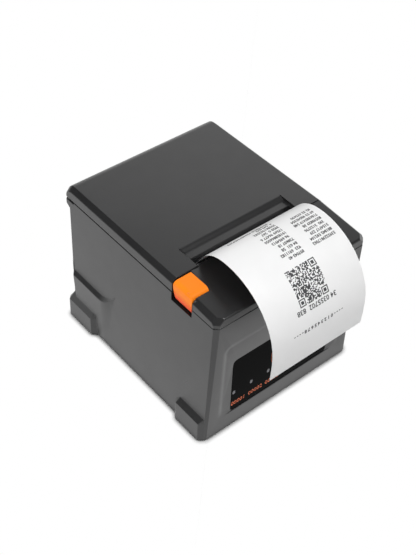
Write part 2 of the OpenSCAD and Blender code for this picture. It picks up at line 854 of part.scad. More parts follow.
function chain_path(from, heading, i = 0) = i == len(receipt_bends) ? [] : let (
    run = bend_path(from, heading, receipt_bends[i][0], receipt_bends[i][1], 1),
    last = run[len(run) - 1])
    concat(run, chain_path(last[0], last[1], i + 1));

// The web leaves the roll at its front, bends under the head and runs straight out of the slot
function web_path() = let (
    up = 180 - exit_angle,
    to_roll = roll - guide,
    wrap_r = roll_d / 2 + gap + paper_t / 2,
    down = atan2(to_roll[1], to_roll[0]) - asin(wrap_r / norm(to_roll)),
    turn = up - down - 180,
    low = guide + guide_r * tan(turn / 2) * [cos(down), sin(down)],
    from = guide + sqrt(pow(norm(to_roll), 2) - pow(wrap_r, 2)) * [cos(down), sin(down)],
    free = [exit_y, case_h] + receipt_rise * web_dir)
    concat(
        [[from, down + 180]], bend_path(low, down + 180, guide_r, turn, 0), [[free, up]],
        chain_path(free, up));

module receipt() color([0.97, 0.97, 0.96]) {
    path = web_path();
    last = len(path) - 1;
    left = [for (p = path) p[0] + paper_t / 2 * [-sin(p[1]), cos(p[1])]];
    right = [for (i = [0:last]) let (p = path[last - i]) p[0] - paper_t / 2 * [-sin(p[1]), cos(p[1])]];
    difference() {
        along_x(-paper_w / 2, paper_w / 2) polygon(concat(left, right));
        // two cuts of the blade leave a small bridge in the middle
        for (s = [-1, 1]) translate([s * (tab_w / 2 + paper_w / 2), web_y(blade_z), blade_z])
            cube([paper_w, 4, cut_h], center = true);
    }
}

// Print mechanism

function plate_side_view() = [
    [deck_front + 1, deck_z], [bin_front + 15.5, deck_z], [bin_front + 15.5, nip[1] - 4],
    [platen[0] + 7, platen[1]], [platen[0] - 7, platen[1]], [tray_back, tray_z], [deck_front + 1, tray_z]];

module mech_frame() color([0.7, 0.71, 0.72]) {
    anvil = sink_back + spring_l;
    difference() {
        union() {
            both_sides() {
                along_x(frame_x, frame_x + sheet_t) polygon(plate_side_view());
                block([frame_x - 9, deck_front + 1, deck_z],
                      [frame_x + sheet_t, bin_front - 1, deck_z + sheet_t]);
            }
            at_nip() block([-frame_x - 0.5, -anvil - sheet_t, -3], [frame_x + 0.5, -anvil, 5]);
        }
        both_sides() {
            // open seats for the platen bushes
            rod_x(frame_x - nudge, hook_x, platen, bush_d + 0.8);
            block([frame_x - nudge, platen[0] - bush_d / 2 - 1.3, platen[1]],
                  [hook_x, platen[0] + bush_d / 2 + 0.4, case_h]);
            at_nip() block([frame_x - nudge, tab_y[0] - gap, tab_z[0] - gap],
                           [hook_x, tab_y[1] + gap, tab_z[1] + gap]);
            rod_x(frame_x - nudge, hook_x, latch, latch_d + 2 * run);
            for (y = frame_screw_y)
                rod_z(deck_z - nudge, deck_z + sheet_t + nudge, frame_screw_x, y, small_screw_hole);
        }
        rod_x(frame_x - nudge, hook_x, motor, 7);
        rod_x(frame_x - nudge, hook_x, idler, axle_d + 2 * fit);
    }
}

module frame_screws() color([0.6, 0.6, 0.62]) {
    for (x = [-frame_screw_x, frame_screw_x], y = frame_screw_y)
        translate([x, y, deck_z + sheet_t + head_h]) mirror([0, 0, 1]) screw(small_screw_d, 4.6, head_h, 5);
}

module print_head() color([0.9, 0.88, 0.82]) {
    face = paper_t / 2 + head_gap;
    at_nip() block([-head_w / 2, -face - head_t, -head_down], [head_w / 2, -face, head_up]);
}

module head_heatsink() color([0.8, 0.81, 0.82]) {
    top = sink_back - sink_t;
    tab_x = frame_x + sheet_t + 0.6;
    groove = 2.4;
    at_nip() difference() {
        union() {
            block([-head_w / 2, -sink_back, -head_down - 1], [head_w / 2, -top, head_up]);
            block([-tab_x, tab_y[0], tab_z[0]], [tab_x, tab_y[1], tab_z[1]]);
        }
        // cooling grooves outside the springs
        both_sides() for (z = [-7, -2.4, 2.2])
            block([spring_x + spring_d, -sink_back - nudge, z], [head_w, -sink_back + groove, z + 1.6]);
    }
}

module head_springs() color([0.55, 0.56, 0.58]) {
    at_nip() for (x = [-spring_x, spring_x]) difference() {
        rod_y(-sink_back - spring_l, -sink_back, x, 0.5, spring_d);
        rod_y(-sink_back - spring_l - nudge, -sink_back + nudge, x, 0.5, spring_d - 1.4);
    }
}

// Flat cable from the lower edge of the head to the main board
module head_cable() color([0.9, 0.9, 0.92]) {
    t = 0.3;
    y = bin_front - 2;
    top = nip - (head_down + 1) * web_dir - (sink_back - 2) * web_out;
    along_x(-18, 18) polygon([
        [y - t, board_top + 3], [y, board_top + 3], [y, top[1] - 4], [top[0] + 0.4, top[1] - 0.35],
        [top[0], top[1] - 0.1], [y - t, top[1] - 4]]);
}

module stepper_motor() color([0.62, 0.63, 0.65]) {
    x = frame_x - motor_l;
    low = motor[1] - motor_d / 2;
    difference() {
        union() {
            rod_x(x, frame_x - 1, motor, motor_d);
            rod_x(frame_x - 1, frame_x, motor, motor_d - 3);
            rod_x(frame_x - 1, frame_x + sheet_t, motor, 6.6);
            // plug of the winding leads
            block([x + 3, motor[0] - 7, low - 0.6], [x + 12, motor[0] + 1, low + 3]);
        }
        rod_x(x + 4, frame_x + 10, motor, motor_shaft_d + 2 * run);
    }
}

module gear(n, phase, x, at, bore) {
    translate([x, at[0], at[1]]) rotate([90, 0, 90]) rotate([0, 0, phase]) difference() {
        linear_extrude(gear_w) polygon(gear_outline(n));
        translate([0, 0, -nudge]) cylinder(d = bore, h = gear_w + 2 * nudge);
    }
}

module motor_pinion() color([0.85, 0.7, 0.3]) {
    gear(pinion_n, pinion_phase, gear_x, motor, motor_shaft_d - 0.4);
    rod_x(frame_x - motor_l + 5, gear_x + gear_w + 0.5, motor, motor_shaft_d);
}

module idler_axle() color([0.7, 0.7, 0.72]) {
    rod_x(frame_x, gear_x + gear_w + 1, idler, axle_d);
    rod_x(frame_x + sheet_t, gear_x - gap, idler, axle_d + 2);
    rod_x(gear_x + gear_w + gap, gear_x + gear_w + 1, idler, axle_d + 3);
}

module idler_gear() color([0.92, 0.92, 0.88]) {
    difference() {
        gear(idler_n, idler_phase, gear_x, idler, axle_d + 2 * run);
        for (x = [gear_x - nudge, gear_x + gear_w - 1]) difference() {
            rod_x(x, x + 1 + nudge, idler, 2 * pitch_r(idler_n) - 5 * gear_m);
            rod_x(x - nudge, x + 2 + 2 * nudge, idler, axle_d + 5);
        }
    }
}

// Cutter

module cutter_frame() color([0.68, 0.69, 0.7]) {
    difference() {
        union() {
            block([-tray_x, tray_front, tray_z], [tray_x, tray_back, tray_z + tray_t]);
            both_sides() block([rail_x, tray_front, tray_z], [tray_x, tray_back, tray_z + tray_t + rail_h]);
            block([-tray_x, tray_front, tray_z], [tray_x, tray_front + 1.2, tray_z + tray_t + rail_h]);
        }
        rod_z(tray_z - nudge, tray_z + tray_t + nudge, cutter_x, cutter_y, cutter_shaft_d + 0.8);
        block([-16, tray_front + 6, tray_z - nudge], [36, tray_back - 8, tray_z + tray_t + nudge]);
    }
}

module cutter_cover() color([0.5, 0.51, 0.53]) {
    pitch = 12;
    slot = 7;
    margin = 9;
    difference() {
        block([-tray_x, tray_front, cover_z], [tray_x, tray_back - 3, cover_z + 1]);
        for (x = [-pitch:pitch:2 * pitch])
            block([x, tray_front + margin, cover_z - nudge],
                  [x + slot, tray_back - 3 - margin, cover_z + 1 + nudge]);
    }
}

module cutter_motor() color([0.6, 0.61, 0.63]) {
    difference() {
        union() {
            rod_z(tray_z - cutter_l, tray_z, cutter_x, cutter_y, cutter_d);
            rod_z(tray_z - cutter_l - 2, tray_z - cutter_l, cutter_x, cutter_y, 8);
        }
        rod_z(tray_z - 12, tray_z + nudge, cutter_x, cutter_y, cutter_shaft_d + 2 * run);
    }
}

module cutter_pinion() color([0.85, 0.7, 0.3]) {
    z = tray_z + tray_t + 0.15;
    translate([cutter_x, cutter_y, z]) rotate([0, 0, 180]) linear_extrude(rail_h - gap)
        polygon(gear_outline(cutter_n));
    rod_z(tray_z - 11, z, cutter_x, cutter_y, cutter_shaft_d);
}

// Rack teeth on the left side of the blade's slot
function rack_outline(x, y0, count) = concat(
    [for (i = [0:count - 1], p = [[0, -1.25], [0.3, 0.75], [0.7, 0.75], [1, -1.25]])
        [x + p[1] * gear_m, y0 + (i + 0.5 + (p[0] - 0.5) * 0.78) * rack_p]],
    [[x - 3, y0 + count * rack_p], [x - 3, y0]]);

module moving_blade() color([0.78, 0.8, 0.82]) {
    z0 = blade_z - blade_t / 2;
    half = rail_x - gap;
    slot_x = cutter_x - pitch_r(cutter_n);
    clear = 0.6;
    along_z(z0, z0 + blade_t) {
        difference() {
            polygon([
                [-half, blade_back], [half, blade_back], [half, blade_tip], [tab_w, blade_tip - vee],
                [tab_w, blade_tip - vee - 2], [-tab_w, blade_tip - vee - 2], [-tab_w, blade_tip - vee],
                [-half, blade_tip]]);
            polygon([
                [slot_x - 1.3 * gear_m, cutter_y - blade_travel - cutter_tip - clear],
                [cutter_x + cutter_tip + clear, cutter_y - blade_travel - cutter_tip - clear],
                [cutter_x + cutter_tip + clear, cutter_y + cutter_tip + clear],
                [slot_x - 1.3 * gear_m, cutter_y + cutter_tip + clear]]);
        }
        polygon(rack_outline(slot_x, rack_y, rack_n));
    }
}

module fixed_blade() color([0.78, 0.8, 0.82]) {
    z = blade_z + blade_t / 2 + 0.8;
    half = paper_w / 2 + 2;
    edge = web_y(z) + 0.9;
    along_x(-half, half) polygon([
        [edge, z], [platen[0] - 0.5, z], [platen[0] - 0.5, z + 1.5], [edge + 1.5, z + 1.5]]);
}

// Electronics

module main_board() color([0.05, 0.35, 0.18]) {
    difference() {
        block([-board_w / 2, stand_y[0] - 4, board_z], [board_w / 2, board_rear, board_top]);
        for (x = [-stand_x, stand_x], y = stand_y)
            rod_z(board_z - nudge, board_top + nudge, x, y, small_screw_hole);
    }
}

// A part on the main board: its corner, width, depth and height
module chip(x, y, w, d, h) {
    block([x, y, board_top], [x + w, y + d, board_top + h]);
}

module board_chips() color([0.12, 0.12, 0.13]) {
    y = bin_y;
    chip(-9, y - 16, 18, 18, 1.6);
    chip(16, y - 10, 10, 16, 1.2);
    chip(-28, y + 4, 11, 11, 6);
    for (x = [-30, -19]) rod_z(board_top, board_top + parts_h, x, y - 12, 8);
    // plugs of the head cable and the motor leads
    chip(-20, bin_front - 4.5, 40, 3.9, 3);
    chip(24, y - 32, 8, 6, 6);
}

module board_screws() color([0.6, 0.6, 0.62]) {
    for (x = [-stand_x, stand_x], y = stand_y)
        translate([x, y, board_top + head_h]) mirror([0, 0, 1]) screw(small_screw_d, 4.6, head_h, 5);
}

module socket_shell(s) {
    block([s[0] - s[1] / 2, socket_face - s[3], board_top],
          [s[0] + s[1] / 2, socket_face, board_top + s[2]]);
}

// A cavity in a socket's face: width, height and depth, lifted from the board
module socket_mouth(s, w, h, d, lift) {
    block([s[0] - w / 2, socket_face - d, board_top + lift],
          [s[0] + w / 2, socket_face + nudge, board_top + lift + h]);
}

module dc_jack() color([0.08, 0.08, 0.08]) {
    z = board_top + 5.8;
    difference() {
        socket_shell(jack);
        rod_y(socket_face - 9, socket_face + nudge, jack[0], z, 6.4);
    }
    rod_y(socket_face - 9.5, socket_face - 0.8, jack[0], z, 2.1);
}

module usb_port() color([0.75, 0.76, 0.78]) {
    difference() {
        socket_shell(usb);
        socket_mouth(usb, 8.6, 7.8, 12, 1.6);
    }
    tongue = 5.6;
    block([usb[0] - tongue / 2, socket_face - 12.5, board_top + 4],
          [usb[0] + tongue / 2, socket_face - 1.5, board_top + 7.2]);
}

module lan_port() color([0.75, 0.76, 0.78]) {
    difference() {
        socket_shell(lan);
        socket_mouth(lan, 11.8, 8.2, 14, 1.6);
        socket_mouth(lan, 6, 2, 14, 9.7);
    }
}

module drawer_port() color([0.08, 0.08, 0.08]) {
    difference() {
        socket_shell(drawer);
        socket_mouth(drawer, 9.8, 7, 12, 1.6);
        socket_mouth(drawer, 4, 2.2, 12, 8.5);
    }
}

// A box centred on the power switch: its two ends along Y and its half width and half height
module switch_box(y0, y1, x, z) {
    block([switch_x - x, y0, rocker_z - z], [switch_x + x, y1, rocker_z + z]);
}

module switch_body() color([0.07, 0.07, 0.07]) {
    half = rocker_w / 2;
    reach = rocker_h / 2;
    body = 1.7;
    rim = 2.6;
    depth = 18;
    difference() {
        union() {
            switch_box(wall_y - depth, wall_y, half + body, reach + body);
            switch_box(wall_y, wall_y + 1.3, half + rim, reach + rim);
        }
        switch_box(wall_y - 6, wall_y + 2, half + gap, reach + 2 * gap);
    }
    // terminals
    for (x = [-3, 3]) translate([x, 0, 0]) switch_box(wall_y - depth - 6, wall_y - depth, 0.4, 3);
}

// Rocker at its first position, upper half pressed in
module power_rocker() color([0.1, 0.1, 0.1]) {
    half = rocker_h / 2 - 0.4;
    translate([0, rocker_pivot[0], rocker_pivot[1]]) rotate([rocker_tilt, 0, 0])
        along_x(switch_x - rocker_w / 2, switch_x + rocker_w / 2) polygon([
            [-2.2, -3.5], [0, -half], [3.4, -half], [2.2, 0], [3.4, half], [0, half], [-2.2, 3.5]]);
    rod_x(switch_x - rocker_w / 2 - gap, switch_x + rocker_w / 2 + gap, rocker_pivot, 2);
}

module paper_sensor() color([0.1, 0.1, 0.12]) {
    x = -0.45 * paper_w;
    block([x, bin_front - 5, deck_z + 12], [x + 10, bin_front, deck_z + 20]);
    block([x + 3, bin_front - 6.5, deck_z + 14], [x + 7, bin_front - 4, deck_z + 18]);
}

module lid_switch() color([0.75, 0.1, 0.1]) {
    x = -frame_x - sheet_t;
    y = platen[0] + 6;
    block([x - 5, y, nip[1] - 18], [x, y + 10, nip[1] - 8]);
    block([x - 3.2, y + 3.5, nip[1] - 9], [x - 1.8, y + 6.5, nip[1] - 6.4]);
}

// Lid

module hinge_pins() color([0.75, 0.76, 0.78]) {
    both_sides() rod_x(ear_x - knuckle_w, ear_x + ear_w + knuckle_w, hinge, hinge_pin_d);
}

function lid_side_view(under, in, r) = concat(
    [[seam_y, 0], [rear_y - in, 0]],
    arc([rear_y - in - r, case_h - under - r], r, 0, 90, 16),
    [[seam_y, case_h - under]]);

module lid_knuckle(x) {
    rod_x(x, x + knuckle_w, hinge, 2 * knuckle_r);
    block([x, hinge[0] - 0.9 * knuckle_r, hinge[1]],
          [x + knuckle_w, hinge[0] + wall / 2, case_h - wall + 0.2]);
}

module lid_cover() color([0.25, 0.25, 0.26]) {
    ramp = slot_back + 10;
    lip = slot_back + 4.6;
    lip_depth = 2;
    corner = 1.7;
    end_r = rear_r - 2.6;
    difference() {
        union() {
            difference() {
                intersection() {
                    case_sides(0);
                    chamfered(lid_side_view(0, 0, rear_r), lid_side_view(outer_c, corner, end_r),
                              0, outer_c);
                    block([-case_w, seam_y, seam_z + gap], [case_w, rear_y + nudge, case_h + nudge]);
                }
                intersection() {
                    case_sides(wall);
                    chamfered(lid_side_view(wall, wall, rear_r - wall),
                              lid_side_view(wall + inner_c, wall + corner, end_r - wall),
                              wall, inner_c);
                    block([-case_w, seam_y + wall, 0], [case_w, rear_y, case_h]);
                }
            }
            // lip behind the slot
            block([-slot_w / 2 - 2, slot_back, lip_under], [slot_w / 2 + 2, ramp + 2, case_h - lip_depth]);
            both_sides() {
                lid_knuckle(ear_x - knuckle_w - gap);
                lid_knuckle(ear_x + ear_w + gap);
                // cheek beside the slot
                block([slot_w / 2, seam_y, lip_under], [slot_w / 2 + 2, slot_back + 2, case_h - 1]);
            }
        }
        block([-slot_w / 2, seam_y - nudge, 0], [slot_w / 2, slot_back, case_h + nudge]);
        along_x(-slot_w / 2, slot_w / 2) polygon(concat(
            [for (p = ease([case_h, ramp], [case_h - lip_depth, lip])) [p[1], p[0]]],
            [[slot_back - nudge, case_h - lip_depth], [slot_back - nudge, case_h + nudge],
             [ramp, case_h + nudge]]));
        both_sides() {
            rod_x(ear_x - knuckle_w - nudge, ear_x + ear_w + knuckle_w + nudge, hinge,
                  hinge_pin_d + 2 * run);
            // room over the end of the cutter
            block([slot_w / 2 - nudge, seam_y - nudge, 0],
                  [tray_x + 2 * gap, seam_y + wall + nudge, cover_z + 1 + gap]);
            // notch for the hinge ear of the housing
            block([ear_x - gap, hinge[0] - knuckle_r - 2, 0],
                  [ear_x + ear_w + gap, rear_y + nudge, hinge[1] + knuckle_r + gap]);
        }
        for (x = [-lid_screw_x, lid_screw_x], y = lid_screw_y)
            rod_z(case_h - wall - nudge, case_h - 1, x, y, 2 + 2 * fit);
    }
}

// Inner lid moulding: a ribbed panel, a front beam and the two cheeks of the platen
module lid_inner() color([0.15, 0.15, 0.16]) {
    under = panel_top - panel_t;
    beam_front = web_y(beam_z) + 1.6;
    beam_top = lip_under - gap;
    difference() {
        union() {
            block([-panel_x, panel_front, under], [panel_x, panel_rear, panel_top]);
            block([-panel_x, beam_front, beam_z], [panel_x, platen[0] + 6, beam_top]);
            block([-panel_x, panel_front, beam_z], [panel_x, platen[0] + 6, under + nudge]);
            for (x = [-30:20:30]) block([x - 1, platen[0] + 6, under - 3], [x + 1, panel_rear - 4, under]);
            both_sides() along_x(cheek_x, cheek_x + cheek_t) {
                translate(platen) circle(d = bush_d + 4.4);
                polygon([
                    platen + [-6, 1], platen + [6.4, -1], platen + [18, under - platen[1] + 0.5],
                    [platen[0] - 6, beam_z + 0.5]]);
            }
        }
        both_sides() rod_x(cheek_x - nudge, cheek_x + cheek_t + nudge, platen, bush_d + 2 * fit);
        // relief of the panel over the roll
        for (x = [-20, 0, 20])
            block([x - 7, panel_front + 24, panel_top - 1.2], [x + 7, panel_rear - 14, panel_top + nudge]);
        for (x = [-lid_screw_x, lid_screw_x], y = lid_screw_y)
            rod_z(under - nudge, panel_top + nudge, x, y, 2.4);
    }
}

module lid_screws() color([0.6, 0.6, 0.62]) {
    for (x = [-lid_screw_x, lid_screw_x], y = lid_screw_y)
        translate([x, y, panel_top - panel_t - head_h]) screw(2, 4, head_h, panel_t + 1.2);
}

module platen_bushes() color([0.92, 0.91, 0.86]) {
    both_sides() difference() {
        union() {
            rod_x(cheek_x, frame_x + sheet_t + 0.3, platen, bush_d);
            rod_x(cheek_x - 0.6, cheek_x, platen, bush_d + 1);
        }
        rod_x(cheek_x - 2, frame_x + sheet_t + 2, platen, shaft_d + 2 * run);
    }
}

module platen_shaft() color([0.75, 0.76, 0.78]) {
    rod_x(-hook_x - hook_t, gear_x + gear_w, platen, shaft_d);
}

module platen_rubber() color([0.2, 0.2, 0.21]) {
    half = paper_w / 2 + 1;
    difference() {
        rod_x(-half, half, platen, platen_d);
        rod_x(-half - nudge, half + nudge, platen, shaft_d + 2 * fit);
    }
}

module platen_gear() color([0.92, 0.92, 0.88]) {
    gear(platen_n, platen_phase, gear_x, platen, shaft_d + 2 * fit);
}

// Release lever and latch

function lever_side_view() = let (
    low = case_h - lever_drop - lever_pivot[1],
    high = case_h - lever_pivot[1],
    a0 = asin(low / lever_reach),
    a1 = asin(high / lever_reach))
    concat(
        arc(lever_pivot, lever_eye, 90, 180, 6),
        [[lever_front, case_h - lever_drop]],
        arc(lever_pivot, lever_reach, a0, a1, 10));

function lever_front_view() = let (
    low = case_h - lever_drop,
    c = side_x(case_h - edge_c) - edge_c,
    x = side_x(low))
    concat(
        [[-lever_in, case_h]],
        arc([-c, case_h - edge_c], edge_c, 90, 180),
        [[-side_x(low + 2.8), low + 2.8], [-x + 1.6, low], [-x + lever_t + 0.6, low],
         [-x + lever_t + 0.6, case_h - lever_t], [-lever_in, case_h - lever_t]]);

module release_lever() color([1, 0.5, 0.12]) {
    difference() {
        intersection() {
            union() {
                along_y(lever_front - nudge, seam_y) polygon(lever_front_view());
                rod_x(-case_w / 2 + 0.6, -lever_in, lever_pivot, 2 * lever_eye);
                // lug that pulls the link
                along_x(lug_x - lug_t, lug_x) polygon([
                    lever_pivot + [-2, -1], lever_pivot + [0, 2], lever_arm + [2.6, crank[1] + 11],
                    lever_arm + [2.6, -1.5], lever_arm + [1, -2.6], lever_arm + [-2, -2.4]]);
            }
            along_x(-case_w, 0) polygon(lever_side_view());
        }
        rod_x(-case_w / 2 + 2, nudge - lever_in, lever_pivot, lever_pin_d + 2 * run);
    }
    rod_x(lug_x - 0.5, lug_x + link_t + 2 * link_gap, lever_arm, crank_pin_d);
}

module lever_pin() color([0.75, 0.76, 0.78]) {
    rod_x(-case_w / 2 + 2.5, -lever_in + gap + 3, lever_pivot, lever_pin_d);
}

// Link between the lever and the latch; its lower eye has play
module latch_link() color([0.7, 0.71, 0.72]) {
    x = lug_x + link_gap;
    span = latch_arm - lever_arm;
    across = [-span[1], span[0]] / norm(span) * 2;
    difference() {
        union() {
            for (p = [lever_arm, latch_arm]) rod_x(x, x + link_t, p, 6.4);
            along_x(x, x + link_t) polygon([
                lever_arm - across, lever_arm + across, latch_arm + across, latch_arm - across]);
        }
        rod_x(x - nudge, x + link_t + nudge, lever_arm, crank_pin_d + 2 * run);
        rod_x(x - nudge, x + link_t + nudge, latch_arm, crank_pin_d + 2 * gap);
    }
}

module latch_shaft() color([0.72, 0.73, 0.75]) {
    rod_x(lug_x - lug_t, hook_x + hook_t + 0.5, latch, latch_d);
    along_x(lug_x - lug_t, lug_x) {
        translate(latch) circle(d = latch_d + 4);
        translate(latch_arm) circle(d = crank_pin_d + 3);
        polygon([latch + [0, -4], latch + [0, 4], latch_arm + [0.5, 2.6], latch_arm + [-1, -2.8]]);
    }
    rod_x(lug_x - 0.5, lug_x + link_t + 2 * link_gap, latch_arm, crank_pin_d);
}

// Hooks beside the shaft ends; the noses stop short of the shaft's way out
module latch_hooks() color([0.66, 0.67, 0.69]) {
    nose = platen[0] - shaft_d / 2 - 1.5;
    both_sides() along_x(hook_x, hook_x + hook_t) difference() {
        union() {
            translate(latch) circle(d = latch_d + 5);
            polygon([
                latch + [-2, 4], latch + [3.5, -3.2], [nose - 3, platen[1] - 4], [nose, platen[1] - 1.5],
                [nose, platen[1] + 4], [nose - 3, platen[1] + 5], [nose - 6, platen[1] + 1.5]]);
        }
        translate(latch) circle(d = latch_d + 2 * fit);
    }
}

base_housing();
bottom_plate();
rubber_feet();
case_screws();
front_cover();
front_window();
led_lenses();
panel_board();
panel_switch();
feed_button();
paper_bin();
paper_roll();
roll_core();
receipt();
mech_frame();
frame_screws();
print_head();
head_heatsink();
head_springs();
head_cable();
stepper_motor();
motor_pinion();
idler_axle();
idler_gear();
cutter_frame();
cutter_cover();
cutter_motor();
cutter_pinion();
moving_blade();
fixed_blade();
main_board();
board_chips();
board_screws();
dc_jack();
usb_port();
lan_port();
drawer_port();
switch_body();
power_rocker();
paper_sensor();
lid_switch();
hinge_pins();
lid_cover();
lid_inner();
lid_screws();
platen_bushes();
platen_shaft();
platen_rubber();
platen_gear();
release_lever();
lever_pin();
latch_link();
latch_shaft();
latch_hooks();
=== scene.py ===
import json
import math
import random

import bmesh
import bpy
from mathutils import Matrix, Vector


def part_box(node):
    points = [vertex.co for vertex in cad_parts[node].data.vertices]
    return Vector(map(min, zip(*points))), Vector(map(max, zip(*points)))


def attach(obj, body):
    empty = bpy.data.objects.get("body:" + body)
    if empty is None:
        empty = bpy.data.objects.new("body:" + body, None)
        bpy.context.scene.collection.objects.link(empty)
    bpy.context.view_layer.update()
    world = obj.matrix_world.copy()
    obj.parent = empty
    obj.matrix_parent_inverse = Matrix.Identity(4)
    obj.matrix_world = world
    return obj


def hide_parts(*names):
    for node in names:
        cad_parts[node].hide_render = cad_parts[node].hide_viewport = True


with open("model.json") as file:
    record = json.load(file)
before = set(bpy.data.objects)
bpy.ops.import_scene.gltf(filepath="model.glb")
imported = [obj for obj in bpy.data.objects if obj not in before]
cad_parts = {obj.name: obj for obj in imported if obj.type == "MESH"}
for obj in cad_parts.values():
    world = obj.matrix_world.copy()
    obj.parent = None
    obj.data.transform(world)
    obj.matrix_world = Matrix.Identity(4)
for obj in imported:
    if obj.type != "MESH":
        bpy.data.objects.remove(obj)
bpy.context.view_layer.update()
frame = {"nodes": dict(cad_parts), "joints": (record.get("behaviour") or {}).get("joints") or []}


# Floor of the case: a black tray moulding with ribs, screwed up into the housing from below.
# It is ordinary impact-resistant plastic with a fine eroded grain on the outside, and so are the
# paper bin above it and the inner half of the lid.
MM = 0.001
PATCHES = (0.3, 0.7)
CLOUD_SIZE = 35 * MM
CLOUD_TINTS = (0.9, 1.1)
HANDLING_SIZE = 12 * MM
HANDLING_GLOSS = 0.1


class Shade:
    """A value, colour or vector in a finish. Sums with it add the nodes that they need."""

    def __init__(self, tree, socket=None):
        self.tree = tree
        self.socket = socket

    def join(self, value, socket):
        if isinstance(value, Shade):
            self.tree.links.new(value.socket, socket)
        else:
            socket.default_value = value

    def node(self, kind, settings, sockets, out=0):
        """Adds a node: its settings first, then the value or link of each socket."""
        made = self.tree.nodes.new(kind)
        for key, value in settings.items():
            setattr(made, key, value)
        for key, value in sockets.items():
            self.join(value, made.inputs[key])
        return Shade(self.tree, made.outputs[out])

    def maths(self, operation, *values):
        return self.node("ShaderNodeMath", {"operation": operation}, dict(enumerate(values)))

    def __add__(self, other):
        return self.maths("ADD", self, other)

    def __sub__(self, other):
        return self.maths("SUBTRACT", self, other)

    def __rsub__(self, other):
        return self.maths("SUBTRACT", other, self)

    def __mul__(self, other):
        return self.maths("MULTIPLY", self, other)

    def __gt__(self, other):
        return self.maths("GREATER_THAN", self, other)

    __radd__ = __add__
    __rmul__ = __mul__

    def mix(self, low, high):
        """The colour low where this mask is 0, and high where it is 1.

        The Mix node has its two colours in sockets 6 and 7, and their mixture in output 2."""
        low, high = (c if isinstance(c, Shade) else (*c, 1) for c in (low, high))
        return self.node("ShaderNodeMix", {"data_type": "RGBA"}, {0: self, 6: low, 7: high}, 2)

    def place(self, stretch=(1, 1, 1)):
        """A point's place on the object, in metres, drawn out along axes with a small stretch."""
        here = self.node("ShaderNodeTexCoord", {}, {}, "Object")
        return self.node("ShaderNodeVectorMath", {"operation": "MULTIPLY"}, {0: here, 1: stretch})

    def noise(self, size, detail=2, stretch=(1, 1, 1)):
        """Soft random patches about this size, in metres."""
        return self.node("ShaderNodeTexNoise", {}, {
            "Vector": self.place(stretch), "Scale": 1 / size, "Detail": detail})

    def step(self, low, high):
        """This value as a mask that rises from 0 at low to 1 at high."""
        return self.node("ShaderNodeMapRange", {}, {
            "Value": self, "From Min": low, "From Max": high})

    def bump(self, depth):
        """A surface that rises by depth, in metres, where this height is 1."""
        return self.node("ShaderNodeBump", {}, {"Height": self, "Distance": depth}, "Normal")

    def coat(self, sockets):
        """What the finish's shader shows: numbers and colours set on it, shades linked to it."""
        shader = self.tree.nodes["Principled BSDF"]
        for key, value in sockets.items():
            self.join(value, shader.inputs[key])


def new_finish(name):
    """An empty finish, and the shade that its expressions start from."""
    finish = bpy.data.materials.new(name)
    finish.use_nodes = True
    return finish, Shade(finish.node_tree)


def tint(colour, factor):
    return tuple(min(1, c * factor) for c in colour)


def clouded(shade, colour):
    """A plastic's colour, faintly cloudy in tone."""
    cloud = shade.noise(CLOUD_SIZE, 4).step(*PATCHES)
    return cloud.mix(*(tint(colour, factor) for factor in CLOUD_TINTS))


def skin(shade, roughness, grain, depth):
    """A moulding's eroded grain, and its gloss, which varies with handling."""
    return {
        "Roughness": roughness + HANDLING_GLOSS * (shade.noise(HANDLING_SIZE, 3) - 0.5),
        "Normal": shade.noise(grain, 2).bump(depth)}


def moulded(name, colour, roughness, grain=0.4 * MM, depth=0.012 * MM, **constant):
    """Moulded plastic of one colour. What else its shader needs is given as constants."""
    finish, shade = new_finish(name)
    shade.coat({
        "Base Color": clouded(shade, colour), **skin(shade, roughness, grain, depth), **constant})
    return finish


def dress(finish, *names):
    for name in names:
        for slot in frame["nodes"][name].material_slots:
            slot.material = finish


inner_plastic = moulded("inner_plastic", (0.018, 0.018, 0.019), 0.5)
dress(inner_plastic, "bottom_plate", "paper_bin", "lid_inner")


# Feet and screws: four soft pads pressed into the floor, and zinc-plated screws that hold it on.
# The rubber is dull and dusty, and the screws keep the turning marks of their heads.


def rubber(name, colour, roughness):
    """Dull rubber, with dust that makes it paler and rougher in patches."""
    finish, shade = new_finish(name)
    dust_size, dust_tint, dust_roughness = 3 * MM, 1.8, 0.15
    grain, depth = 0.5 * MM, 0.03 * MM
    dust = shade.noise(dust_size, 5).step(0.45, 0.75)
    shade.coat({
        "Base Color": dust.mix(colour, tint(colour, dust_tint)),
        "Roughness": roughness + dust_roughness * dust,
        "Normal": shade.noise(grain, 3).bump(depth)})
    return finish


def metal(name, colour, roughness, grain=0.3 * MM, stretch=(1, 1, 1), tarnish=0.15):
    """Bare metal with fine working lines, drawn out along the axis with the small stretch."""
    finish, shade = new_finish(name)
    stain_size, line_depth = 9 * MM, 0.004 * MM
    lines = shade.noise(grain, 3, stretch)
    stain = shade.noise(stain_size, 4).step(0.35, 0.75)
    shade.coat({
        "Base Color": stain.mix(colour, tint(colour, 1 - tarnish)),
        "Metallic": 1.0,
        "Roughness": roughness + 0.2 * (lines - 0.5) + 0.1 * stain,
        "Normal": lines.bump(line_depth)})
    return finish


dress(rubber("foot_rubber", (0.03, 0.03, 0.031), 0.75), "rubber_feet")
screw_steel = metal("screw_steel", (0.62, 0.61, 0.58), 0.3)
dress(screw_steel, "case_screws", "board_screws", "frame_screws", "lid_screws")


# Boards: glass-fibre laminate under green lacquer, with copper tracks that show through as lines.
# The main board lies on posts over the floor, and the panel board stands behind the window.


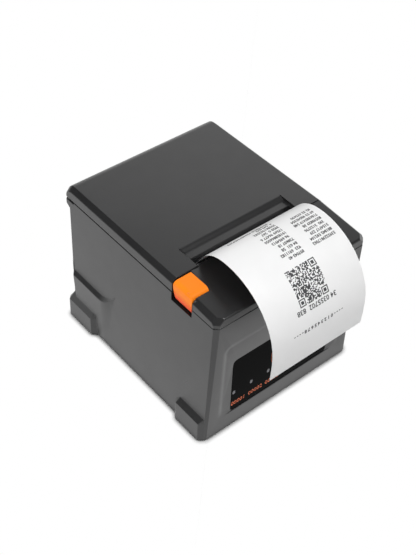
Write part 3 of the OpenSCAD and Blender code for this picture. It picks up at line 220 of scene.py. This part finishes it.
def circuit_board():
    finish, shade = new_finish("circuit_board")
    lacquer, track, pad = (0.004, 0.06, 0.022), (0.012, 0.13, 0.05), (0.55, 0.5, 0.4)
    tracks_per_metre, pads_per_metre, pad_edge = 90, 260, (0.16, 0.2)
    gloss_size, track_height = 6 * MM, 0.03 * MM
    run = shade.node("ShaderNodeTexBrick", {"offset": 0.37, "squash": 0.6}, {
        "Vector": shade.place(), "Scale": tracks_per_metre, "Mortar Size": 0.02,
        "Brick Width": 0.7}, "Fac")
    dots = shade.node("ShaderNodeTexVoronoi", {}, {
        "Vector": shade.place(), "Scale": pads_per_metre}, "Distance")
    shade.coat({
        "Base Color": (1 - dots.step(*pad_edge)).mix(run.mix(lacquer, track), pad),
        "Roughness": 0.3 + 0.1 * shade.noise(gloss_size),
        "Normal": run.bump(track_height)})
    return finish


dress(circuit_board(), "main_board", "panel_board")
chip_plastic = moulded("chip_plastic", (0.02, 0.02, 0.021), 0.55, 0.15 * MM)
dress(chip_plastic, "board_chips", "panel_switch")


# Rear sockets: folded tin-plated shells and black plastic bodies soldered to the main board.
# Sprung gilt contacts lie in the network and drawer sockets, and touch the plug's own.
port_steel = metal("port_steel", (0.7, 0.69, 0.66), 0.28, 0.4 * MM, (1, 1, 0.05))
connector_plastic = moulded("connector_plastic", (0.012, 0.012, 0.013), 0.42)
gilt = metal("gilt_contacts", (0.83, 0.6, 0.22), 0.2, 0.2 * MM, (1, 0.05, 1))
dress(port_steel, "usb_port", "lan_port")
dress(connector_plastic, "dc_jack", "drawer_port", "switch_body")
CONTACT_PITCH = 1.02 * MM
CONTACT_W = 0.45 * CONTACT_PITCH
CONTACT_T = 0.25 * MM
LAN_SPRING = [(13.8 * MM, 9.4 * MM), (9 * MM, 8.6 * MM), (4.5 * MM, 6.4 * MM), (3.6 * MM, 6 * MM)]
DRAWER_SPRING = [
    (11.8 * MM, 8.2 * MM), (8 * MM, 7.6 * MM), (4.5 * MM, 5.6 * MM), (3.6 * MM, 5.2 * MM)]


def add_piece(name, mesh, finish, body):
    """Puts a new mesh on the object: it rides on that body and wears that finish."""
    piece = bpy.data.objects.new(name, mesh)
    bpy.context.scene.collection.objects.link(piece)
    mesh.materials.clear()
    mesh.materials.append(finish)
    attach(piece, body)
    return piece


def add_built(name, bm, finish, body):
    """Puts on a mesh that was built face by face, with its faces turned to one side."""
    bmesh.ops.recalc_face_normals(bm, faces=bm.faces)
    mesh = bpy.data.meshes.new(name)
    bm.to_mesh(mesh)
    bm.free()
    return add_piece(name, mesh, finish, body)


def ribbon(bm, line, width, thick):
    """A flat strip along a line of points in a plane square to X, with its width along X."""
    rings = []
    for i, point in enumerate(line):
        ahead = (line[min(i + 1, len(line) - 1)] - line[max(i - 1, 0)]).normalized()
        out = ahead.cross(Vector((1, 0, 0))) * thick / 2
        across = Vector((width / 2, 0, 0))
        rings.append([bm.verts.new(point + a + b) for a, b in (
            (across, out), (-across, out), (-across, -out), (across, -out))])
    for low, high in zip(rings, rings[1:]):
        for k in range(4):
            bm.faces.new((low[k], low[k - 1], high[k - 1], high[k]))
    bm.faces.new(rings[0])
    bm.faces.new(reversed(rings[-1]))


def contacts(name, port, count, line):
    """A row of like contacts, each along a line of depths and heights in the socket's mouth."""
    low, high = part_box(port)
    middle = (low.x + high.x) / 2
    bm = bmesh.new()
    for i in range(count):
        x = middle + (i - (count - 1) / 2) * CONTACT_PITCH
        points = [Vector((x, high.y - depth, low.z + height)) for depth, height in line]
        ribbon(bm, points, CONTACT_W, CONTACT_T)
    add_built(name, bm, gilt, "base")


contacts("lan_contacts", "lan_port", 8, LAN_SPRING)
contacts("drawer_contacts", "drawer_port", 6, DRAWER_SPRING)


# Power switch: a snap-in rocker at the rear with a bar and a ring let into its two halves.
# The rocker is smooth glossy plastic and the marks are white plastic flush with it.
rocker_plastic = moulded("button_plastic", (0.012, 0.012, 0.013), 0.25, 0.6 * MM, 0.004 * MM)
dress(rocker_plastic, "power_rocker")
mark_white = moulded("mark_white", (0.75, 0.75, 0.73), 0.4, 0.5 * MM, 0.004 * MM)
joint_at = {j["name"]: Vector(j["pos_m"]) for j in frame["joints"] if "pos_m" in j}
ROCKER_TILT = math.radians(7)
ROCKER_DISH = math.atan2(1.2 * MM, 8.1 * MM)
ROCKER_FACE = 2.26 * MM
MARK_FROM_PIVOT = 4.4 * MM
BAR_HALF_W, BAR_HALF_H = 0.35 * MM, 1.5 * MM
MARK_RING_R, MARK_RING_T = 1.6 * MM, 0.6 * MM


def ring_faces(bm, place, radius, thick, steps=40):
    """A flat ring, which place() puts on a surface corner by corner."""
    rims = []
    for i in range(steps):
        turn = 2 * math.pi * i / steps
        rims.append([bm.verts.new(place(r * math.cos(turn), r * math.sin(turn)))
                     for r in (radius, radius - thick)])
    for a, b in zip(rims, rims[1:] + rims[:1]):
        bm.faces.new((a[0], b[0], b[1], a[1]))


def quad(bm, place, x0, y0, x1, y1):
    """A flat oblong, put on a surface in the same way."""
    bm.faces.new([bm.verts.new(place(x, y)) for x, y in ((x0, y0), (x1, y0), (x1, y1), (x0, y1))])


def rocker_marks():
    pivot = joint_at["rocker_tilt"]
    bm = bmesh.new()
    for side in (1, -1):
        turn = Matrix.Rotation(ROCKER_TILT, 3, "X") @ Matrix.Rotation(-side * ROCKER_DISH, 3, "X")

        def on_half(x, z, turn=turn, side=side):
            return pivot + turn @ Vector((x, ROCKER_FACE, z + side * MARK_FROM_PIVOT))

        if side > 0:
            quad(bm, on_half, -BAR_HALF_W, -BAR_HALF_H, BAR_HALF_W, BAR_HALF_H)
        else:
            ring_faces(bm, on_half, MARK_RING_R, MARK_RING_T)
    add_built("rocker_marks", bm, mark_white, "rocker")


rocker_marks()


# Print mechanism: a folded zinc-plated chassis that carries the head, the feed motor and its gears.
# The head is a ceramic strip on an aluminium bar, with wire springs behind it and a flat cable.
chassis_steel = metal("chassis_steel", (0.58, 0.58, 0.57), 0.36, 0.5 * MM, (1, 0.04, 1), 0.25)
shaft_steel = metal("shaft_steel", (0.66, 0.66, 0.65), 0.22, 0.25 * MM, (1, 0.05, 0.05))
heatsink = metal("heatsink_aluminium", (0.78, 0.78, 0.78), 0.34, 0.4 * MM, (0.03, 1, 1))
gear_plastic = moulded("gear_plastic", (0.72, 0.71, 0.67), 0.4)
dress(chassis_steel, "mech_frame", "stepper_motor", "cutter_motor", "cutter_frame")
dress(chassis_steel, "latch_hooks", "latch_link")
dress(shaft_steel, "platen_shaft", "idler_axle", "hinge_pins", "lever_pin", "latch_shaft")
dress(metal("spring_steel", (0.5, 0.5, 0.5), 0.3), "head_springs")
dress(heatsink, "head_heatsink")
dress(metal("pinion_brass", (0.78, 0.55, 0.2), 0.26), "motor_pinion", "cutter_pinion")
dress(moulded("head_ceramic", (0.62, 0.58, 0.5), 0.25, 0.2 * MM, 0.003 * MM), "print_head")
dress(gear_plastic, "idler_gear", "platen_gear", "platen_bushes")
dress(moulded("sensor_plastic", (0.02, 0.02, 0.025), 0.5), "paper_sensor", "cutter_cover")
dress(moulded("switch_plastic", (0.4, 0.03, 0.02), 0.45), "lid_switch")
dress(rubber("platen_rubber", (0.02, 0.02, 0.021), 0.6), "platen_rubber")
CORE_PITCH = 1.2 * MM
CORE_LEVEL = 0.3
FILM_WHITE, CORE_GREY = (0.6, 0.6, 0.58), (0.3, 0.31, 0.34)


def flat_cable():
    """White film with a dark line for each conductor, along the cable."""
    finish, shade = new_finish("cable_plastic")
    across = shade.node("ShaderNodeSeparateXYZ", {}, {0: shade.place()}, "X")
    core = shade.maths("SINE", across * (2 * math.pi / CORE_PITCH)) > CORE_LEVEL
    shade.coat({"Base Color": core.mix(FILM_WHITE, CORE_GREY), "Roughness": 0.4})
    return finish


dress(flat_cable(), "head_cable")


# Cutter: two hardened blades, ground bright along their edges, above the print line.
# One lies fixed in the lid, and a small motor drives the other across the paper.
blade_steel = metal("blade_steel", (0.6, 0.6, 0.61), 0.2, 0.3 * MM, (0.03, 1, 1), 0.1)
dress(blade_steel, "moving_blade", "fixed_blade")


# Case: housing, front cover and lid, all charcoal plastic with a smooth, slightly shiny skin.
# Each comes out of its tool with every edge broken, so the mouldings are copied with small bevels.
# A painted highlight runs paler round the window's recess, and the cover's front corners slope.
SHARP = math.radians(28)
CREASE = math.radians(1.2)
FLAT_ANGLE = math.radians(0.6)
FLAT_WIDTH = 3 * MM
MERGE = 0.002 * MM
CUT_SLACK = 0.001 * MM
BROKEN_EDGE = 0.35 * MM
# Blender's own name for how far a face rules the normals at its corners, and the highest value.
FACE_STRENGTH = "__mod_weightednormals_faceweight"
STRONG = 16384
CASE_GREY = (0.015, 0.015, 0.0155)
# Paler grey of the painted highlight round the window's recess.
HIGHLIGHT_GREY = (0.1, 0.1, 0.101)
CASE_GRAIN = 0.35 * MM
CASE_DEPTH = 0.004 * MM
CASE_ROUGHNESS = 0.3
CASE_IOR = 1.57
RECESS_SIDE = 53.75 * MM
RECESS_TOP = 87.3 * MM
RECESS_FOOT = (17 * MM, 24 * MM)
RECESS_R = 5 * MM
RECESS_Y = -60 * MM
# Width of the band of that painted highlight.
HIGHLIGHT_W = 2.4 * MM
CORNER_W = 1.2 * MM
CORNER_RISE = math.radians(33)
case_plastic = moulded(
    "case_plastic", CASE_GREY, CASE_ROUGHNESS, CASE_GRAIN, CASE_DEPTH, IOR=CASE_IOR)


def housing_plastic():
    """The case plastic, with a painted highlight: paler where the front face turns in to the
    window.
    """
    finish, shade = new_finish("housing_plastic")
    x, y, z = (shade.node("ShaderNodeSeparateXYZ", {}, {0: shade.place()}, axis) for axis in "XYZ")
    across = shade.maths("ABSOLUTE", x) - (RECESS_SIDE - RECESS_R)
    upward = z - (RECESS_TOP - RECESS_R)
    past_x, past_z = (shade.maths("MAXIMUM", past, 0) for past in (across, upward))
    inside = shade.maths("MINIMUM", shade.maths("MAXIMUM", across, upward), 0)
    beyond = shade.maths("SQRT", past_x * past_x + past_z * past_z) + inside - RECESS_R
    edge = 1 - shade.maths("ABSOLUTE", beyond).step(0, HIGHLIGHT_W)
    # Painted highlight: a paler band of base colour along the recess's edge, standing in for its
    # glint.
    painted_highlight = edge * z.step(*RECESS_FOOT) * (RECESS_Y - y > 0)
    shade.coat({
        "Base Color": painted_highlight.mix(clouded(shade, CASE_GREY), HIGHLIGHT_GREY),
        "IOR": CASE_IOR,
        **skin(shade, CASE_ROUGHNESS, CASE_GRAIN, CASE_DEPTH)})
    return finish


def moulding(name, node, body, finish, corners=()):
    """A copy of a CAD moulding with its edges broken by a small bevel, which stands for it.

    Each of its corners that is given as a point and an outward direction is cut off flat there."""
    bm = bmesh.new()
    bm.from_mesh(frame["nodes"][node].data)
    strength = bm.faces.layers.int.new(FACE_STRENGTH)
    bmesh.ops.remove_doubles(bm, verts=bm.verts, dist=MERGE)
    for point, out in corners:
        cut = bmesh.ops.bisect_plane(bm, geom=[*bm.verts, *bm.edges, *bm.faces], dist=CUT_SLACK,
                                     plane_co=point, plane_no=out, clear_outer=True)
        rim = [part for part in cut["geom_cut"] if isinstance(part, bmesh.types.BMEdge)]
        bmesh.ops.holes_fill(bm, edges=rim)
    bmesh.ops.dissolve_limit(bm, angle_limit=FLAT_ANGLE, verts=bm.verts, edges=bm.edges)
    width = {face: face.calc_area() / max(e.calc_length() for e in face.edges) for face in bm.faces}
    for line in bm.edges:
        angle = line.calc_face_angle(0)
        crease = angle > CREASE and min(width[face] for face in line.link_faces) > FLAT_WIDTH
        line.smooth = not (angle > SHARP or crease)
    for face in bm.faces:
        face.smooth = True
        face[strength] = STRONG if width[face] > FLAT_WIDTH else 0
    bmesh.ops.triangulate(bm, faces=bm.faces)
    mesh = bpy.data.meshes.new(name)
    bm.to_mesh(mesh)
    bm.free()
    if "custom_normal" in mesh.attributes:
        mesh.attributes.remove(mesh.attributes["custom_normal"])
    piece = add_piece(name, mesh, finish, body)
    bevel = piece.modifiers.new("broken_edge", "BEVEL")
    bevel.width = BROKEN_EDGE
    bevel.segments = 2
    bevel.limit_method = "ANGLE"
    bevel.angle_limit = SHARP
    bevel.use_clamp_overlap = False
    bevel.face_strength_mode = "FSTR_NEW"
    flat = piece.modifiers.new("flat_faces", "WEIGHTED_NORMAL")
    flat.keep_sharp = True
    flat.weight = 100
    flat.use_face_influence = True
    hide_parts(node)


def cover_corners():
    """Where the cover's two front corners slope back, from the seam up to its top."""
    low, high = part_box("front_cover")
    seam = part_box("lid_cover")[0].z
    inset = CORNER_W / 2
    level, rise = math.cos(CORNER_RISE) / math.sqrt(2), math.sin(CORNER_RISE)
    corners = []
    for side in (-1, 1):
        point = Vector((side * (high.x - inset), low.y + inset, seam))
        corners.append((point, Vector((side * level, -level, rise))))
    return corners


moulding("housing_moulding", "base_housing", "base", housing_plastic())
moulding("cover_moulding", "front_cover", "base", case_plastic, cover_corners())
moulding("lid_moulding", "lid_cover", "lid", case_plastic)


# Front window: a black gloss panel with three clear lamp lenses and a dished feed button.
# A plain number is printed in orange under each lens, and a thin ring round the button.
window_plastic = moulded(
    "window_plastic", (0.002, 0.0022, 0.0022), 0.12, 2 * MM, 0.004 * MM, IOR=1.06)
dress(window_plastic, "front_window")
dress(moulded("feed_plastic", (0.008, 0.008, 0.009), 0.3, 0.5 * MM, 0.004 * MM), "feed_button")
dress(moulded("clear_plastic", (0.15, 0.145, 0.165), 0.15, 0.4 * MM, 0.01 * MM), "led_lenses")
mark_orange = moulded("mark_orange", (0.8, 0.14, 0.03), 0.45, 0.3 * MM, 0.004 * MM)
LAMPS = 3
LENS_W = 2.2 * MM
NUMBER_SIZE = 5.1 * MM
NUMBER_STROKE = 0.06 * MM
NUMBER_LEFT = 2 * MM
NUMBER_Z = 21.4 * MM
RING_R = 18 * MM
RING_T = 0.35 * MM
INK = 0.03 * MM


def lettering(bm, words, size, stroke, place, middle=False):
    """Flat figures with slightly fattened strokes, put on a surface by place(), point by point."""
    curve = bpy.data.curves.new("figures", "FONT")
    curve.body = words
    curve.size = size
    curve.offset = stroke
    curve.resolution_u = 2
    curve.align_x = "CENTER" if middle else "LEFT"
    holder = bpy.data.objects.new("figures", curve)
    bpy.context.scene.collection.objects.link(holder)
    bpy.context.view_layer.update()
    solved = holder.evaluated_get(bpy.context.evaluated_depsgraph_get())
    mesh = bpy.data.meshes.new_from_object(solved)
    bpy.data.objects.remove(holder)
    bpy.data.curves.remove(curve)
    for vertex in mesh.vertices:
        vertex.co = place(vertex.co.x, vertex.co.y)
    bm.from_mesh(mesh)
    bpy.data.meshes.remove(mesh)


def window_marks():
    face_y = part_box("front_window")[0].y - INK
    lens_low, lens_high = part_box("led_lenses")
    first = lens_low.x + LENS_W / 2 - NUMBER_LEFT
    pitch = (lens_high.x - lens_low.x - LENS_W) / (LAMPS - 1)
    bm = bmesh.new()
    for i in range(LAMPS):

        def on_window(x, z, left=first + i * pitch):
            return Vector((left + x, face_y, NUMBER_Z + z))

        lettering(bm, f"0000{i + 1}", NUMBER_SIZE, NUMBER_STROKE, on_window)
    button_low, button_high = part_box("feed_button")
    button = (button_low + button_high) / 2

    def round_button(x, z):
        return Vector((button.x + x, face_y, button.z + z))

    ring_faces(bm, round_button, RING_R, RING_T)
    add_built("window_marks", bm, mark_orange, "base")


window_marks()


# Release lever: a bright orange hook of moulded plastic that wraps over the left top edge.
# It turns on a steel pin under the front cover and pulls the latch through a link.
LIP_Z = (109.5 * MM, 115 * MM)
LIP_RED, LEVER_ORANGE = (0.85, 0.08, 0.02), (1.0, 0.25, 0.014)


def lever_orange():
    """Orange plastic that turns darker and redder towards the bottom, in the lower lip."""
    finish, shade = new_finish("orange_plastic")
    height = shade.node("ShaderNodeSeparateXYZ", {}, {0: shade.place()}, "Z")
    shade.coat({
        "Base Color": height.step(*LIP_Z).mix(LIP_RED, LEVER_ORANGE),
        "IOR": 1.25,
        **skin(shade, 0.38, CASE_GRAIN, CASE_DEPTH)})
    return finish


dress(lever_orange(), "release_lever")


# Paper: a roll of thermal paper on a cardboard core, drawn up past the head and out of the slot.
# The printed length curls over forwards, held at the slot by the part-cut bridge in the middle.
TURN_SIZE = 0.35 * MM
TURN_DEPTH = 0.05 * MM


def wound_paper():
    """Smooth white outside, and the fine rings of the turns on both ends."""
    finish, shade = new_finish("wound_paper")
    axis = joint_at["roll_spin"]
    from_axis = shade.node("ShaderNodeVectorMath", {"operation": "SUBTRACT"}, {
        0: shade.place((0, 1, 1)), 1: (0, axis.y, axis.z)})
    radius = shade.node("ShaderNodeVectorMath", {"operation": "LENGTH"}, {0: from_axis}, "Value")
    turns = shade.node("ShaderNodeTexNoise", {"noise_dimensions": "1D"}, {
        "W": radius, "Scale": 1 / TURN_SIZE, "Detail": 3})
    facing = shade.node("ShaderNodeNewGeometry", {}, {}, "Normal")
    sideways = shade.node("ShaderNodeSeparateXYZ", {}, {0: facing}, "X")
    end = shade.maths("ABSOLUTE", sideways) > 0.5
    tone = turns.step(*PATCHES).mix((0.62, 0.61, 0.59), (0.86, 0.86, 0.84))
    shade.coat({
        "Base Color": end.mix((0.86, 0.86, 0.85), tone),
        "Roughness": 0.6,
        "Normal": (end * turns).bump(TURN_DEPTH)})
    return finish


dress(wound_paper(), "paper_roll")
core_board, shade = new_finish("core_board")
fibres = shade.noise(1.5 * MM, 5).step(*PATCHES)
shade.coat({
    "Base Color": fibres.mix((0.3, 0.2, 0.11), (0.44, 0.31, 0.19)),
    "Roughness": 0.8,
    "Normal": shade.noise(0.5 * MM, 4).bump(0.05 * MM)})
dress(core_board, "roll_core")

PAPER_W = 80 * MM
EXIT_ANGLE = math.radians(60)
RISE = 4.5 * MM
BENDS = [(24 * MM, 55), (46 * MM, 92), (144 * MM, 8.5)]
PAPER_T = 0.1 * MM
PAPER_GAP = 0.4 * MM
PLATEN_R = 7 * MM
ROLL_R = 38 * MM
GUIDE_R = 5 * MM
GUIDE_DROP = 10 * MM
CUT_DEPTH = 11 * MM
CUT_HALF = 0.8 * MM
BRIDGE_W = 3 * MM
GUIDE_STEPS = 8
FREE_STEPS = 72
FREE_LENGTH = RISE + sum(radius * math.radians(degrees) for radius, degrees in BENDS)
thermal_paper, shade = new_finish("thermal_paper")
fibres = shade.noise(18 * MM, 3).step(*PATCHES)
shade.coat({
    "Base Color": fibres.mix((0.86, 0.86, 0.86), (0.89, 0.89, 0.89)),
    "Roughness": 0.5 + 0.1 * shade.noise(4 * MM),
    "Normal": shade.noise(0.6 * MM, 4).bump(0.01 * MM)})

web_dir = Vector((0, -math.cos(EXIT_ANGLE), math.sin(EXIT_ANGLE)))
web_out = Vector((0, math.sin(EXIT_ANGLE), math.cos(EXIT_ANGLE)))
nip = Vector((0, *joint_at["platen_spin"].yz)) - (PLATEN_R + PAPER_GAP) * web_out
case_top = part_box("lid_cover")[1].z
mouth = nip + web_dir * (case_top - nip.z) / math.sin(EXIT_ANGLE)


def heading_dir(angle):
    return Vector((0, math.cos(angle), math.sin(angle)))


def paper_at(length):
    """Point and heading of the free receipt, a length of paper beyond the slot."""
    point, heading = mouth, math.pi - EXIT_ANGLE
    if length <= RISE:
        return point + length * heading_dir(heading), heading
    point = point + RISE * heading_dir(heading)
    left = length - RISE
    for radius, degrees in BENDS:
        turn = min(left / radius, math.radians(degrees))
        centre = point + radius * heading_dir(heading + math.pi / 2)
        heading += turn
        point = centre + radius * heading_dir(heading - math.pi / 2)
        left -= radius * turn
    return point, heading


def on_paper(x, length, lift):
    """A point of the free receipt, lifted off its printed side."""
    point, heading = paper_at(length)
    return point + Vector((x, 0, 0)) + lift * heading_dir(heading - math.pi / 2)


def web_line():
    """The paper's line from the roll to the slot and on to its end, and the row that is cut."""
    guide = nip - GUIDE_DROP * web_dir
    to_roll = Vector((0, *joint_at["roll_spin"].yz)) - guide
    wrap = ROLL_R + PAPER_GAP
    down = math.atan2(to_roll.z, to_roll.y) - math.asin(wrap / to_roll.length)
    start = guide + math.sqrt(to_roll.length ** 2 - wrap ** 2) * heading_dir(down)
    turn = -EXIT_ANGLE - down
    bend = guide + GUIDE_R * math.tan(turn / 2) * heading_dir(down)
    centre = bend + GUIDE_R * heading_dir(down - math.pi / 2)
    line = [start]
    for i in range(GUIDE_STEPS + 1):
        line.append(centre + GUIDE_R * heading_dir(down + math.pi / 2 + turn * i / GUIDE_STEPS))
    cut = mouth - web_dir * CUT_DEPTH / math.sin(EXIT_ANGLE)
    line += [cut - CUT_HALF * web_dir, cut + CUT_HALF * web_dir]
    cut_row = len(line) - 2
    line += [paper_at(FREE_LENGTH * i / FREE_STEPS)[0] for i in range(FREE_STEPS + 1)]
    return line, cut_row


def receipt_sheet():
    line, cut_row = web_line()
    columns = [-PAPER_W / 2, -PAPER_W / 4, -BRIDGE_W / 2, BRIDGE_W / 2, PAPER_W / 4, PAPER_W / 2]
    bm = bmesh.new()
    rows = [[bm.verts.new(point + Vector((x, 0, 0))) for x in columns] for point in line]
    for i, (low, high) in enumerate(zip(rows, rows[1:])):
        for k in range(len(columns) - 1):
            if i == cut_row and k != len(columns) // 2 - 1:
                continue
            bm.faces.new((low[k], low[k + 1], high[k + 1], high[k]))
    mesh = bpy.data.meshes.new("receipt_sheet")
    bm.to_mesh(mesh)
    bm.free()
    mesh.shade_smooth()
    sheet = add_piece("receipt_sheet", mesh, thermal_paper, "base")
    body = sheet.modifiers.new("paper_thickness", "SOLIDIFY")
    body.thickness = PAPER_T
    body.offset = 0
    flat = sheet.modifiers.new("flat_faces", "WEIGHTED_NORMAL")
    flat.weight = 100
    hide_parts("receipt")
    length = sum((b - a).length for a, b in zip(line, line[1:]))
    return sheet, length


sheet, sheet_length = receipt_sheet()


# Print on the receipt: thermal black, made of columns of figures, a square code and a row of marks.
# All of it is plain numbers and a chance pattern, printed head first, so it reads from behind.
print_black, shade = new_finish("print_black")
faded = shade.noise(0.4 * MM, 3).step(0.3, 0.75)
shade.coat({
    "Base Color": faded.mix((0.02, 0.02, 0.022), (0.09, 0.09, 0.095)),
    "Roughness": 0.55})
PRINT_LIFT = PAPER_T / 2 + INK
CHANCE_SEED = 11
CODE_CELLS = 33
CODE_RING = 3
CODE_DARK = 0.58
CODE_SIZE = 24 * MM
CODE_X = -1.3 * MM
CODE_START = 55.3 * MM
COLUMNS = [(35 * MM, 24 * MM, 8), (8 * MM, 17.6 * MM, 10)]  # left edge, first row, rows
ROW_PITCH = 3.4 * MM
ROW_SIZE = 2.9 * MM
ROW_FIGURES = (9, 15)
STROKE = 0.1 * MM
HEAD_X, HEAD_START, HEAD_FIGURES = 7 * MM, 14.6 * MM, 23
LARGE_START, LARGE_SIZE, LARGE_FIGURES = 80.6 * MM, 4.8 * MM, 16
DASHED_START, DASHED_SIZE, DASHED_STROKE = 95.2 * MM, 3.6 * MM, 0.15 * MM
DASHED = "- - - - 0 1 2 3 4 5 6 7 8 - - - -"


def code_cell(row, column, chance):
    """Whether a cell of the square code is dark: rings in three corners, chance elsewhere."""
    last = CODE_CELLS - 1
    for near_row, near_column in ((row, column), (last - row, column), (last - row, last - column)):
        ring = max(abs(near_row - CODE_RING), abs(near_column - CODE_RING))
        if ring <= CODE_RING + 1:
            return ring in (0, 1, CODE_RING)
    return chance.random() < CODE_DARK


def square_code(bm, chance):
    """The square code, with each run of dark cells in a row as one face."""
    cell = CODE_SIZE / CODE_CELLS
    left = CODE_X + CODE_SIZE / 2
    for row in range(CODE_CELLS):
        start = CODE_START + row * cell
        dark = [code_cell(row, column, chance) for column in range(CODE_CELLS)] + [False]
        begin = None
        for column, on in enumerate(dark):
            if on and begin is None:
                begin = column
            if not on and begin is not None:
                quad(bm, lambda x, length: on_paper(x, length, PRINT_LIFT),
                     left - begin * cell, start, left - column * cell, start + cell)
                begin = None


def receipt_print():
    chance = random.Random(CHANCE_SEED)
    bm = bmesh.new()
    square_code(bm, chance)

    def words(first, text, line, size, stroke, middle=False):
        def place(x, y):
            return on_paper(first - x, line + y, PRINT_LIFT)

        lettering(bm, text, size, stroke, place, middle)

    def figures(count):
        """So many plain figures, in groups of chance length."""
        return "".join(chance.choice("0123456789  ") for _ in range(count))

    for left, start, rows in COLUMNS:
        for i in range(rows):
            text = figures(chance.randrange(*ROW_FIGURES))
            words(left, text, start + i * ROW_PITCH, ROW_SIZE, STROKE)
    words(HEAD_X, figures(HEAD_FIGURES), HEAD_START, ROW_SIZE, STROKE)
    words(CODE_X, figures(LARGE_FIGURES), LARGE_START, LARGE_SIZE, STROKE, True)
    words(CODE_X, DASHED, DASHED_START, DASHED_SIZE, DASHED_STROKE, True)
    return add_built("receipt_print", bm, print_black, "base")


printed = receipt_print()


# Studio: a plain white floor that turns up far away, stays white to the eye and in reflections, and
# keeps the close shadow. One soft box stands behind to the right with a weak one over it, one hangs
# overhead to the front, and one stands on the left.
FLOOR_HALF = 60.0
FLOOR_RIM = 5.0
FLOOR_MATT = (0.5, 0.5, 0.5, 1)
SHADOW_REACH = 3.5 * MM
SHADOW_SPAN = (0.5, 0.97)
WORLD_GREY = (0.14, 0.14, 0.14, 1)
AIM = Vector((0, 0, 0.06))


def studio_floor():
    corners = [(x * FLOOR_HALF, y * FLOOR_HALF) for x, y in ((-1, -1), (1, -1), (1, 1), (-1, 1))]
    points = [(*corner, z) for z in (0, FLOOR_RIM) for corner in corners]
    sides = [(i, (i + 1) % 4, (i + 1) % 4 + 4, i + 4) for i in range(4)]
    mesh = bpy.data.meshes.new("floor")
    mesh.from_pydata(points, [], [(0, 1, 2, 3), *sides])
    floor = bpy.data.objects.new("floor", mesh)
    bpy.context.scene.collection.objects.link(floor)
    finish, shade = new_finish("floor_white")
    tree = finish.node_tree
    eye, mirror, through = (shade.node("ShaderNodeLightPath", {}, {}, f"Is {kind} Ray")
                            for kind in ("Camera", "Glossy", "Transmission"))
    seen = eye + mirror + through > 0.5
    opening = shade.node("ShaderNodeAmbientOcclusion", {"samples": 16}, {
        "Distance": SHADOW_REACH}, "AO")
    matt = shade.node("ShaderNodeBsdfDiffuse", {}, {"Color": FLOOR_MATT})
    glow = shade.node("ShaderNodeEmission", {}, {"Color": (1, 1, 1, 1), "Strength": 1.0})
    both = shade.node("ShaderNodeMixShader", {}, {
        0: seen * opening.step(*SHADOW_SPAN), 1: matt, 2: glow})
    tree.links.new(both.socket, tree.nodes["Material Output"].inputs["Surface"])
    mesh.materials.append(finish)


def soft_box(name, at, size, power, mirrored=True):
    """A square lamp aimed at the case. One that isn't mirrored leaves no glare on the plastic."""
    light = bpy.data.lights.new(name, "AREA")
    light.size = size
    light.energy = power
    lamp = bpy.data.objects.new(name, light)
    lamp.visible_glossy = mirrored
    bpy.context.scene.collection.objects.link(lamp)
    turn = (AIM - Vector(at)).to_track_quat("-Z", "Y")
    lamp.matrix_world = Matrix.Translation(at) @ turn.to_matrix().to_4x4()


studio_floor()
soft_box("key_box", (0.825, 0.937, 0.636), 1.1, 4.2)
soft_box("hood_box", (0.7, 0.43, 1.36), 0.6, 0.62)
soft_box("top_box", (0.1, -0.84, 1.2), 0.6, 12.5)
soft_box("left_box", (-0.94, -0.03, 0.58), 0.55, 7.5, False)
world = bpy.data.worlds.new("studio")
bpy.context.scene.world = world
world.use_nodes = True
world.node_tree.nodes["Background"].inputs["Color"].default_value = WORLD_GREY


# Camera: it looks down on the front left corner from a little over half a metre away.
# Its place was found from the case's own edges, for a picture 416 wide and 555 high.
AZIMUTH = math.radians(-41.333)
ELEVATION = math.radians(44.46)
ROLL = math.radians(2.423)
DISTANCE = 0.71461
TARGET = Vector((-0.000212, 0.0148812, 0.054693))
PICTURE_H = 555
FOCAL_PIXELS = 1016.584
SENSOR_MM = 36
right = Vector((math.cos(AZIMUTH), math.sin(AZIMUTH), 0))
back = Vector((math.sin(AZIMUTH) * math.cos(ELEVATION), -math.cos(AZIMUTH) * math.cos(ELEVATION),
               math.sin(ELEVATION)))
up = back.cross(right)
rolled_right = math.cos(ROLL) * right + math.sin(ROLL) * up
rolled_up = math.cos(ROLL) * up - math.sin(ROLL) * right
lens = bpy.data.cameras.new("camera")
lens.sensor_fit = "VERTICAL"
lens.sensor_height = SENSOR_MM
lens.lens = FOCAL_PIXELS / PICTURE_H * SENSOR_MM
camera = bpy.data.objects.new("camera", lens)
bpy.context.scene.collection.objects.link(camera)
turn = Matrix((rolled_right, rolled_up, back)).transposed().to_4x4()
camera.matrix_world = Matrix.Translation(TARGET + DISTANCE * back) @ turn
bpy.context.scene.camera = camera
bpy.context.scene.view_settings.view_transform = "Standard"
